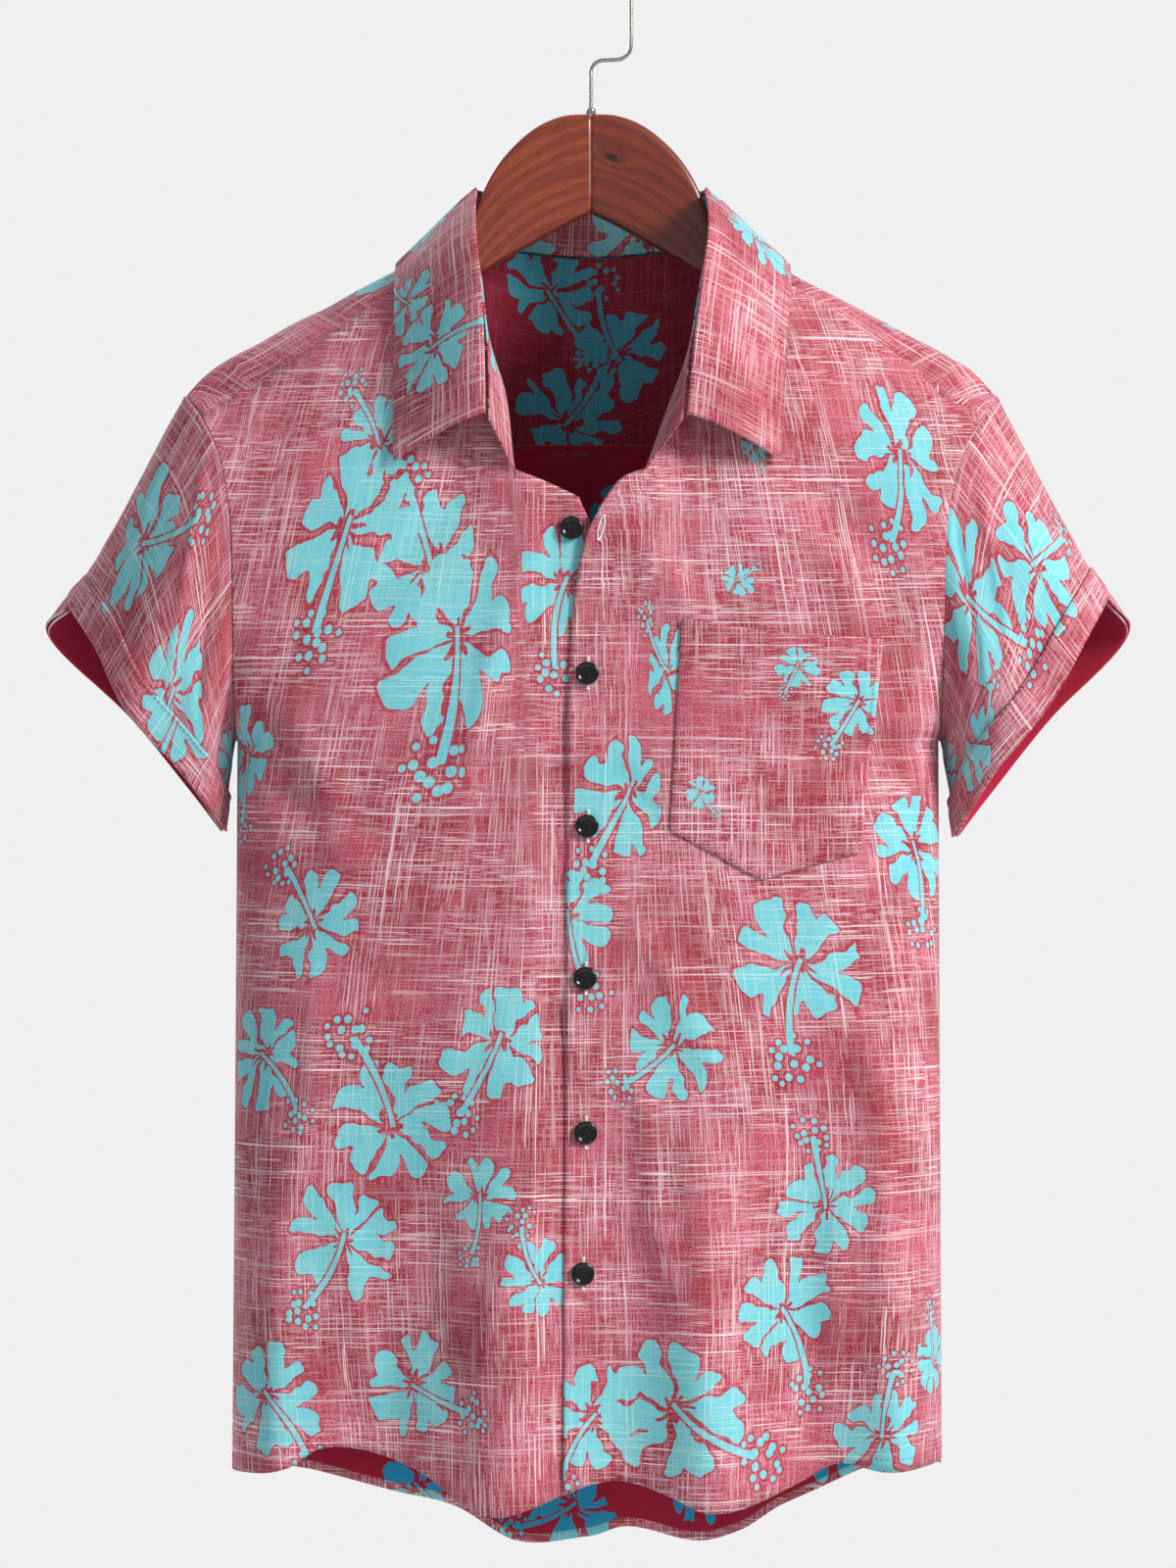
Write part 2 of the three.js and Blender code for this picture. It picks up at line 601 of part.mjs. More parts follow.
for (const hand of [-1, 1]) {
  const name = hand > 0 ? 'left' : 'right';
  const rings = sleeveRings(hand, 1, even(8));
  add(`sleeve_${name}`, shellGeometry(rings, CLOTH, true, sleeveOut(hand)), crimson(`sleeve_${name}`));

  // Turned-up band along the opening
  const fine = sleeveRings(hand, 1, even(8));
  const band = even(3).map((k) => fine[0].map((start, i) => {
    const end = fine[8][i];
    const length = start.distanceTo(end);
    const r = mix(1 - CUFF_WIDTH / length, 0.995, k) * 8;
    const j = Math.min(7, Math.floor(r));
    return fine[j][i].clone().lerp(fine[j + 1][i], r - j);
  }));
  const facing = sleeveOut(hand);
  const lifted = band.map((row, j) => row.map((p, i) => {
    const next = row[(i + 1) % row.length];
    const prev = row[(i + row.length - 1) % row.length];
    const up = band[Math.min(3, j + 1)][i].clone().sub(band[Math.max(0, j - 1)][i]);
    const n = next.clone().sub(prev).cross(up).normalize();
    if (n.dot(facing(p)) < 0) n.negate();
    return p.clone().addScaledVector(n, LAY + 0.1 + CLOTH);
  }));
  add(`cuff_${name}`, shellGeometry(lifted, CLOTH, true, facing), crimson(`cuff_${name}`));
}

// Collar: seam, fold and leaf edge at each station
function collarStation(at) {
  const value = (key) => read(NECK, 'at', key, at);
  const x = value('x');
  const z = value('z');
  const side = value('side') < 0 ? -1 : 1;
  const height = ridge(x) - z;
  const seam = height <= 0 ? body(x, ridge(x), side) : body(x, z, side);
  seam.z = z;
  if (side < 0) {
    const p = frontPoint(x, z, x > 0);
    seam.y = p.y;
  }
  const fold = seam.clone().add(new THREE.Vector3(value('fx'), value('fy'), value('fz')));
  const ox = value('ox');
  const oz = value('oz');
  const outerSide = at > 4 && at < 10 ? 1 : -1;
  const outer = oz >= ridge(ox) ? body(ox, ridge(ox), outerSide) : body(ox, oz, outerSide);
  outer.y += outerSide * value('lift');
  outer.z = oz;
  return { seam, fold, outer };
}
const away = (p) => new THREE.Vector3(p.x, p.y + 10, 0).normalize();
function collar() {
  const stand = [];
  const leaf = [];
  const front = (hand) => even(8).map((k) => mix(hand > 0 ? 14 : 0, yokeStation(hand), k));
  const stations = [...front(-1), 4, 4.5, 5, 5.5, 6.25, 7, 7.75, 8.5, 9, 9.5, 10, ...front(1).reverse()];
  for (const at of stations) {
    const { seam, fold, outer } = collarStation(at);
    const up = fold.clone().sub(seam).normalize();
    const base = seam.clone().addScaledVector(up, SEAM + 0.9);
    stand.push(even(3).map((k) => base.clone().lerp(fold, k * 0.97)));
    const across = outer.clone().sub(fold);
    leaf.push([0, 0.04, 0.12, 0.28, 0.5, 0.75, 1].map((k) => {
      const p = fold.clone().addScaledVector(across, k);
      const bulge = 4.2 * Math.sqrt(k) * (1 - k) + 2.6 * (1 - k);
      const spread = 6 * Math.sqrt(k) * (1 - k);
      return p.addScaledVector(up, bulge).addScaledVector(away(p), spread);
    }));
  }
  add('collar_stand', shellGeometry(stand, CLOTH, false, away), crimson('collar_stand'));
  const up = (p) => away(p).add(new THREE.Vector3(0, 0, 1)).normalize();
  add('collar_leaf', shellGeometry(leaf, CLOTH, false, up), crimson('collar_leaf'));
}
collar();

// Depth of a panel's outer face at a place, from its own points
function faceAt(grid, x, z) {
  let found = null;
  const tri = (a, b, c) => {
    const d = (b.z - c.z) * (a.x - c.x) + (c.x - b.x) * (a.z - c.z);
    if (Math.abs(d) < 1e-9) return;
    const u = ((b.z - c.z) * (x - c.x) + (c.x - b.x) * (z - c.z)) / d;
    const v = ((c.z - a.z) * (x - c.x) + (a.x - c.x) * (z - c.z)) / d;
    const w = 1 - u - v;
    if (u < -1e-6 || v < -1e-6 || w < -1e-6) return;
    const y = u * a.y + v * b.y + w * c.y;
    if (found === null || y < found) found = y;
  };
  for (let j = 0; j < grid.length - 1; j += 1) {
    for (let i = 0; i < grid[j].length - 1; i += 1) {
      const [a, b, c, d] = [grid[j][i], grid[j][i + 1], grid[j + 1][i + 1], grid[j + 1][i]];
      tri(a, b, c);
      tri(a, c, d);
    }
  }
  return found;
}
// The furthest forward of the face round a place
function laidOn(grid, x, z, reach) {
  let y = faceAt(grid, x, z);
  for (const dx of [-reach, 0, reach]) {
    for (const dz of [-reach, 0, reach]) {
      y = Math.min(y, faceAt(grid, x + dx, z + dz) ?? y);
    }
  }
  return y;
}

// Chest pocket on the wearer's left, with a pointed foot
const pocketGrid = even(12).map((v) => even(12).map((u) => {
  const straight = (key) => (u < 0.5
    ? mix(POCKET[0][key], POCKET[1][key], u * 2)
    : mix(POCKET[1][key], POCKET[2][key], u * 2 - 1));
  const x = mix(straight('topx'), straight('lowx'), v);
  const z = mix(straight('topz'), straight('lowz'), v);
  const gape = 1.6 * (1 - v) ** 3 * Math.sin(Math.PI * u);
  const y = laidOn(leftFront, x, z, 4);
  return new THREE.Vector3(x, y - CLOTH - LAY - gape, z);
}));
add('pocket', shellGeometry(pocketGrid, CLOTH, false, fromAxis), crimson('pocket'));

// Buttons: dished discs with a raised rim and four holes
const wasm = await Module();
wasm.setup();
const toSolid = (geometry) => {
  const g = geometry.clone();
  g.deleteAttribute('normal');
  g.deleteAttribute('uv');
  const m = mergeVertices(g, 1e-4);
  return new wasm.Manifold(new wasm.Mesh({
    numProp: 3,
    vertProperties: new Float32Array(m.attributes.position.array),
    triVerts: new Uint32Array(m.index.array),
  }));
};
const fromSolid = (solid) => {
  const mesh = solid.getMesh();
  const geometry = new THREE.BufferGeometry();
  geometry.setAttribute('position', new THREE.Float32BufferAttribute(mesh.vertProperties, 3));
  geometry.setIndex(Array.from(mesh.triVerts));
  geometry.computeVertexNormals();
  return geometry;
};
function buttonGeometry() {
  const r = BUTTON_RADIUS;
  const profile = [[0, 0], [r * 0.8, 0], [r, 1], [r * 0.97, 2.1], [r * 0.85, BUTTON_THICK],
    [r * 0.72, 2.3], [r * 0.55, 1.6], [0, 1.4]];
  const lathe = new THREE.LatheGeometry(profile.map(([a, b]) => new THREE.Vector2(a, b)), 14);
  let solid = toSolid(lathe);
  for (const [a, b] of [[1, 1], [1, -1], [-1, 1], [-1, -1]]) {
    const hole = new THREE.CylinderGeometry(0.75, 0.75, 8, 6);
    hole.translate(a * 1.25, 0, b * 1.25);
    solid = solid.subtract(toSolid(hole));
  }
  return fromSolid(solid);
}
const button = buttonGeometry();
for (const row of BUTTONS) {
  const mesh = add(row.name, button.clone(), black(row.name));
  const p = frontPoint(row.x, row.z, !row.under);
  const dx = frontPoint(row.x + 3, row.z, !row.under).sub(frontPoint(row.x - 3, row.z, !row.under));
  const dz = frontPoint(row.x, row.z + 3, !row.under).sub(frontPoint(row.x, row.z - 3, !row.under));
  const out = dx.cross(dz).normalize();
  if (out.y > 0) out.negate();
  mesh.quaternion.setFromUnitVectors(new THREE.Vector3(0, 1, 0), out);
  mesh.position.copy(p).addScaledVector(out, 0.7);
}

// Hanger: two arms joined at the centre, rounded edges, ends bowed forward
function armGeometry(hand) {
  const xs = [0.15, 8, 16, 24, 32, 40, 48, 53, 58, 62, 66, 71, 76, 83, 90, 103, 116, 130, 145, 160, 175, 190, 200, 206, 210];
  const rings = xs.map((x) => {
    const v = (key) => read(ARM, 'x', key, x);
    const halfHeight = (v('top') - v('bottom')) / 2;
    const middle = (v('top') + v('bottom')) / 2;
    const halfThick = v('thick') / 2;
    const ease = x > 200 ? 1 - 0.35 * ((x - 200) / 10) : 1;
    return even(14).slice(0, -1).map((k) => {
      const turn = k * Math.PI * 2;
      const c = Math.cos(turn);
      const s = Math.sin(turn);
      const z = middle + halfHeight * ease * Math.sign(c) * Math.abs(c) ** 0.45;
      const y = v('y') + halfThick * ease * Math.sign(s) * Math.abs(s) ** 0.45;
      return new THREE.Vector3(hand * x, y, z);
    });
  });
  return ringGeometry(rings);
}
add('hanger_left', armGeometry(1), wood('hanger_left'));
add('hanger_right', armGeometry(-1), wood('hanger_right'));

// Hook: wire rising from the ferrule, offset to the side and bent over the rod
const wireTop = -(HOOK_BEND - WIRE);
const wirePath = new THREE.CurvePath();
const v3 = (x, z) => new THREE.Vector3(x, 0, z);
const run = [
  v3(0, -88.4), v3(0, -69), v3(0.4, -62.5), v3(5, -58.9), v3(11, -58.4), v3(17.5, -57.6), v3(21.6, -53.5), v3(HOOK_BEND, -47),
];
const points = [v3(0, -88.4), v3(0, -78)];
const bend = new THREE.CatmullRomCurve3(run.slice(1), false, 'centripetal');
bend.getPoints(18).forEach((p) => points.push(p));
points.push(v3(HOOK_BEND, -34));
for (const k of even(14)) {
  const a = Math.PI * k;
  points.push(v3(HOOK_BEND * Math.cos(a), wireTop + HOOK_BEND * Math.sin(a)));
}
points.push(v3(-HOOK_BEND, wireTop - 4));
const wireRings = points.map((p, j) => {
  const before = points[Math.max(0, j - 1)];
  const after = points[Math.min(points.length - 1, j + 1)];
  const along = after.clone().sub(before).normalize();
  const side = new THREE.Vector3(0, 1, 0);
  const other = along.clone().cross(side);
  return even(8).slice(0, -1).map((k) => {
    const turn = k * Math.PI * 2;
    return p.clone().addScaledVector(side, WIRE * Math.cos(turn)).addScaledVector(other, WIRE * Math.sin(turn));
  });
});
add('hook', ringGeometry(wireRings), nickel('hook'));

// Ferrule round the foot of the wire, on the crown of the wood
const ferruleProfile = [[WIRE + 0.35, -88.6], [2.7, -88.6], [2.7, -86.2], [2.2, -85.4], [WIRE + 0.35, -85.4], [WIRE + 0.35, -88.6]];
const ferrule = new THREE.LatheGeometry(ferruleProfile.map(([a, b]) => new THREE.Vector2(a, b)), 16);
ferrule.rotateX(Math.PI / 2);
add('ferrule', ferrule, nickel('ferrule'));

export default group;
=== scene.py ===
import math
import bpy
import numpy as np
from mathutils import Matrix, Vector, noise


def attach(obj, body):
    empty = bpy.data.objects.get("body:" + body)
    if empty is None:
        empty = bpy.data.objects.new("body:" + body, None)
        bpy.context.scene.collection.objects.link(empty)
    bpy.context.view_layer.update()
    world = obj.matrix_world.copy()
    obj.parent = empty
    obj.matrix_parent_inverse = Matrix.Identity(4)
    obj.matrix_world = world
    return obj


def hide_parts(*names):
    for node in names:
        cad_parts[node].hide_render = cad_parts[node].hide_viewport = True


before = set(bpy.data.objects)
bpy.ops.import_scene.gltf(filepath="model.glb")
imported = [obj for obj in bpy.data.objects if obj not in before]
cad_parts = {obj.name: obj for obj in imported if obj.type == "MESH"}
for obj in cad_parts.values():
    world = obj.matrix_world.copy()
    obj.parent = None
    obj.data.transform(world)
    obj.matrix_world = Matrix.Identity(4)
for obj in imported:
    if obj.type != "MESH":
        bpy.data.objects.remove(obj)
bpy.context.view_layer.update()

for name in ('Cube', 'Light', 'Camera'):
    spare = bpy.data.objects.get(name)
    if spare:
        bpy.data.objects.remove(spare)

# Driving sizes, in millimetres, the same as the solids
CLOTH = 1.2
SEAM = 0.4
LAY = 0.4
FRONT_DEPTH = 64.0
BACK_DEPTH = 60.0
ROUND = 2.6
DROP_LENGTH = 75.0
NECK_HEIGHT = -131.0
SHOULDER_SLOPE = 0.55
SHOULDER_TIP = 226.0
TIP_HEIGHT = -247.8
PIT_HEIGHT = -440.0
ARMHOLE_DEPTH = 46.0
BACK_SEAM = -276.0
CUFF_WIDTH = 20.0

EDGE = dict(
    z=[-247.8, -262, -283, -305, -330, -370, -440, -600, -870],
    left=[-226, -215, -205, -200, -197.5, -197, -197.5, -198.5, -200.5],
    right=[226, 216, 204.5, 198, 195.5, 194.5, 194.2, 194.8, 196],
)
NECK = dict(
    at=list(range(15)),
    x=[-42.4, -48, -62, -74.5, -81, -74, -46, 0, 46, 74, 81, 74.5, 61, 46.5, 30.1],
    z=[-293.4, -249, -217, -186, -162, -160.5, -163, -166, -163, -160.5, -162, -186, -217, -249, -292.9],
    side=[-1, -1, -1, -1, 0, 1, 1, 1, 1, 1, 0, -1, -1, -1, -1],
    fx=[-14, -9, 2, 10.5, 16, 11, 6, 0, -6, -11, -16, -9.5, -1.5, 8, 20.5],
    fy=[-18, -24, -22, -18, -4, -3, -5, -4, -5, -3, -4, -18, -22, -25, -18],
    fz=[28, 18, 23, 24, 26, 27, 30, 32, 30, 27, 26, 24, 21, 18, 27],
    ox=[-108.5, -109, -109, -109, -109, -100, -62, 0, 62, 100, 111, 111, 108, 107, 104],
    oz=[-287.5, -248, -218, -192, -172.5, -184, -186, -183, -186, -184, -173, -192, -220, -250, -286.5],
    lift=[5, 4, 4, 5.5, 2, 5.5, 5, 5, 5, 5.5, 2, 5.5, 4, 4, 5],
)
YOKE_FRONT = dict(x=[-220, -170, -79.5, 79.5, 135, 170, 220], drop=[27, 27, 15, 13, 16, 22, 27])
EDGE_OVER = dict(t=[0, 0.02, 0.06, 0.13, 0.22, 1], x=[3.8, -1.6, -7, -11.3, -12.9, -15])
EDGE_UNDER = dict(t=[0, 0.04, 0.12, 0.22, 1], x=[-6, 3, 8, 10, 9])
LAPEL_OVER = dict(u=[0, 0.5, 1], x=[3.8, 15.6, 30.1], z=[-315.4, -299.3, -292.9])
LAPEL_UNDER = dict(u=[0, 0.5, 1], x=[-6, -24, -42.4], z=[-309, -300.5, -293.4])
HEM_FRONT = dict(
    x=[-201, -166, -150, -124, -92, -67, -50, -27, 0, 20, 43, 63, 85, 115, 136, 160, 197],
    z=[-846, -840, -830, -831, -842, -859, -863, -857, -847, -846, -853, -861, -859, -848, -838, -842, -840],
)
HEM_BACK = dict(
    x=[-201, -157, -115, -80, -44, 0, 20, 62, 86, 110, 155, 197],
    z=[-846, -858, -868, -879, -902, -897, -891, -902, -895, -877, -856, -844],
)
# Hanging folds: where, half width, swell at the hem, height where it starts, slant
FOLDS_FRONT = [
    (-178, 16, 9, -520, 0.02), (-122, 34, -15, -480, 0.05), (-50, 26, 13, -430, 0.04),
    (18, 20, -5, -560, 0), (66, 22, 12, -500, -0.03), (124, 28, -14, -470, -0.05), (172, 18, 9, -420, -0.03),
]
FOLDS_BACK = [
    (-160, 22, 9, -430, 0.03), (-108, 30, -13, -420, 0.05), (-48, 26, 12, -330, 0.04), (12, 20, -9, -380, 0),
    (68, 24, 12, -350, -0.04), (122, 26, -12, -460, -0.05), (168, 20, 8, -500, -0.02),
]
PLEAT = dict(wide=9.0, out=5.0, length=330.0)
CUFF_LEFT = dict(
    turn=[0, 45, 90, 135, 180, 225, 270, 315, 360],
    x=[288, 275, 255, 223, 204, 225, 261, 302, 288],
    y=[2, -31, -43, -33, 0, 32, 42, 26, 2],
    z=[-362, -381, -417, -459, -494, -472, -428, -383, -362],
)
CUFF_RIGHT = dict(
    turn=[0, 45, 90, 135, 180, 225, 270, 315, 360],
    x=[-291, -272, -254, -226, -206, -225, -262, -305, -291],
    y=[2, -31, -43, -33, 0, 32, 42, 24, 2],
    z=[-366, -392, -427, -459, -491, -471, -427, -383, -366],
)
POCKET = dict(u=[0, 0.5, 1], topx=[49.4, 98.3, 160.7], topz=[-373.9, -381.4, -385.2],
              lowx=[43, 93, 147.8], lowz=[-490, -517.4, -502.3])


# Number helpers
def mix(a, b, t):
    return a + (b - a) * t


def step(a, b, v):
    t = min(1.0, max(0.0, (v - a) / (b - a)))
    return t * t * (3 - 2 * t)


def read(rows, key, value, at):
    """Smooth reading of a table of columns."""
    keys = rows[key]
    vals = rows[value]
    sign = 1 if keys[-1] > keys[0] else -1
    p = at * sign
    i = 0
    n = len(keys)
    while i < n - 2 and p > keys[i + 1] * sign:
        i += 1
    k0 = keys[i] * sign
    k1 = keys[i + 1] * sign
    t = min(1.0, max(0.0, (p - k0) / (k1 - k0)))
    v0 = vals[i]
    v1 = vals[i + 1]
    gap = k1 - k0
    before = (v1 - vals[i - 1]) / (k1 - keys[i - 1] * sign) if i > 0 else (v1 - v0) / gap
    after = (vals[i + 2] - v0) / (keys[i + 2] * sign - k0) if i < n - 2 else (v1 - v0) / gap
    a = 2 * t ** 3 - 3 * t ** 2 + 1
    b = t ** 3 - 2 * t ** 2 + t
    c = -2 * t ** 3 + 3 * t ** 2
    d = t ** 3 - t ** 2
    return a * v0 + b * gap * before + c * v1 + d * gap * after


# The body's shell
def ridge(x):
    return NECK_HEIGHT - SHOULDER_SLOPE * (math.sqrt(x * x + 900) - 30) - 0.018 * max(0.0, abs(x) - 205) ** 2


def ridge_forward(x):
    return -10 * (x / SHOULDER_TIP) ** 2


PIT_MIDDLE = (TIP_HEIGHT + PIT_HEIGHT) / 2
PIT_HALF = (TIP_HEIGHT - PIT_HEIGHT) / 2


def arm_depth(z):
    v = (z - PIT_MIDDLE) / PIT_HALF
    return ARMHOLE_DEPTH * math.sqrt(1 - v * v) if abs(v) < 1 else 0.0


def edge_at(z, hand):
    height = min(TIP_HEIGHT, z)
    return read(EDGE, 'z', 'left' if hand < 0 else 'right', height)


def fold_swell(rows, x, z):
    swell = 0.0
    for fx, wide, out, start, slant in rows:
        strength = step(start, -860, z) ** 1.2
        centre = fx + slant * (z + 860)
        swell += out * strength * math.exp(-((x - centre) / wide) ** 2)
    return swell


def body(x, z, side, inset=0.0):
    """Point of the body's outer face; side is -1 for the front and 1 for the back."""
    edge = edge_at(z, x)
    s = min(1.0, abs(x / edge))
    sleeved = 1 - step(-365, PIT_HEIGHT, z)
    rounding = max(0.0, 1 - s ** mix(ROUND, 4, sleeved)) ** mix(1 / ROUND, 1, sleeved)
    drop = max(0.0, ridge(x) - z)
    deep = (FRONT_DEPTH if side < 0 else BACK_DEPTH) + 10 * step(-450, -860, z)
    centre = deep * math.sqrt(1 - math.exp(-drop / DROP_LENGTH))
    arm = arm_depth(z)
    y = arm + (centre - arm) * rounding
    y += fold_swell(FOLDS_FRONT if side < 0 else FOLDS_BACK, x, z) * min(1.0, rounding * 1.6)
    if side > 0:
        fade = step(BACK_SEAM + 2, BACK_SEAM - 18, z) * (1 - step(BACK_SEAM, BACK_SEAM - PLEAT['length'], z))
        y += PLEAT['out'] * fade * math.exp(-(x / PLEAT['wide']) ** 2)
    return np.array([x, side * (y - inset) + ridge_forward(x), z])


def front_point(x, z, over, lift=0.0):
    dip = 0.0 if over else (CLOTH + LAY + 0.1) * step(-34, -20, x)
    opened = step(-390, -300, z) * (1 - step(10, 50, abs(x - (6 if over else -24))))
    roll = 7 * opened if over else 3.5 * opened
    p = body(x, z, -1, dip - roll - lift)
    p[1] -= SEAM / 2
    return p


def armhole_corner(hand, drop):
    x = hand * SHOULDER_TIP
    for _ in range(60):
        x = mix(x, edge_at(ridge(x) - drop, hand), 0.4)
    return x, ridge(x) - drop


def neck_seam(at):
    return read(NECK, 'at', 'x', at), read(NECK, 'at', 'z', at)


def yoke_station(hand, gap=0.0):
    low = 10.0 if hand > 0 else 4.0
    high = 11.0 if hand > 0 else 3.0
    for _ in range(40):
        middle = (low + high) / 2
        x, z = neck_seam(middle)
        if ridge(x) - z < read(YOKE_FRONT, 'x', 'drop', x) + gap:
            low = middle
        else:
            high = middle
    return low


def stray(line):
    a = line(0.0)
    b = line(1.0)
    return lambda t: line(t) - mix(a, b, t)


def even(n):
    return [k / n for k in range(n + 1)]


def refine(values, parts):
    """The same stations with more between them."""
    out = []
    for a, b in zip(values[:-1], values[1:]):
        out += [mix(a, b, k / parts) for k in range(parts)]
    return out + [values[-1]]


# Colours as they look in even light, turned to linear
def linear(r, g, b):
    out = []
    for c in (r, g, b):
        c /= 255
        out.append(c / 12.92 if c <= 0.04045 else ((c + 0.055) / 1.055) ** 2.4)
    return (*out, 1.0)


class Net:
    """Short names for making shader nodes."""

    def __init__(self, tree):
        self.tree = tree
        tree.nodes.clear()

    def add(self, kind, **props):
        node = self.tree.nodes.new(kind)
        for key, value in props.items():
            setattr(node, key, value)
        return node

    def put(self, socket, value):
        if isinstance(value, bpy.types.NodeSocket):
            self.tree.links.new(value, socket)
        elif value is not None:
            socket.default_value = value

    def math(self, op, a, b=None, c=None):
        node = self.add('ShaderNodeMath', operation=op)
        for socket, value in zip(node.inputs, (a, b, c)):
            self.put(socket, value)
        return node.outputs[0]

    def mul(self, a, b):
        return self.math('MULTIPLY', a, b)

    def plus(self, a, b):
        return self.math('ADD', a, b)

    def minus(self, a, b):
        return self.math('SUBTRACT', a, b)

    def over(self, a, b):
        return self.math('DIVIDE', a, b)

    def most(self, a, b):
        return self.math('MAXIMUM', a, b)

    def length(self, a, b):
        return self.math('SQRT', self.plus(self.mul(a, a), self.mul(b, b)))

    def map(self, value, a, b, low=0.0, high=1.0, smooth=True):
        node = self.add('ShaderNodeMapRange', interpolation_type='SMOOTHSTEP' if smooth else 'LINEAR')
        for key, v in zip(('Value', 'From Min', 'From Max', 'To Min', 'To Max'), (value, a, b, low, high)):
            self.put(node.inputs[key], v)
        return node.outputs['Result']

    def vec(self, x=0.0, y=0.0, z=0.0):
        node = self.add('ShaderNodeCombineXYZ')
        for socket, value in zip(node.inputs, (x, y, z)):
            self.put(socket, value)
        return node.outputs[0]

    def split(self, vector):
        node = self.add('ShaderNodeSeparateXYZ')
        self.put(node.inputs[0], vector)
        return node.outputs

    def noise(self, vector, scale=1.0, detail=2.0, rough=0.5, dims='2D'):
        node = self.add('ShaderNodeTexNoise', noise_dimensions=dims)
        self.put(node.inputs['Vector'], vector)
        node.inputs['Scale'].default_value = scale
        node.inputs['Detail'].default_value = detail
        node.inputs['Roughness'].default_value = rough
        return node.outputs['Fac']

    def blend(self, fac, a, b):
        node = self.add('ShaderNodeMix', data_type='RGBA')
        self.put(node.inputs[0], fac)
        self.put(node.inputs[6], a)
        self.put(node.inputs[7], b)
        return node.outputs[2]

    def surface(self, colour, values, height=None, strength=0.0, distance=0.0):
        """Principled surface with its output, and a bump where a height is given."""
        shader = self.add('ShaderNodeBsdfPrincipled')
        self.put(shader.inputs['Base Color'], colour)
        for key, value in values.items():
            shader.inputs[key].default_value = value
        if height is not None:
            bump = self.add('ShaderNodeBump')
            bump.inputs['Strength'].default_value = strength
            bump.inputs['Distance'].default_value = distance
            self.put(bump.inputs['Height'], height)
            self.put(shader.inputs['Normal'], bump.outputs[0])
        out = self.add('ShaderNodeOutputMaterial')
        self.put(out.inputs['Surface'], shader.outputs[0])


def new_material(name):
    material = bpy.data.materials.new(name)
    material.use_nodes = True
    return material, Net(material.node_tree)


# Printed flower, in flower radii: petals, cells of the dots, end of the stamen
PETALS = 5
DOT_SCALE = 5.0
STEM_END = -1.42
DOTS_AT = 1.5


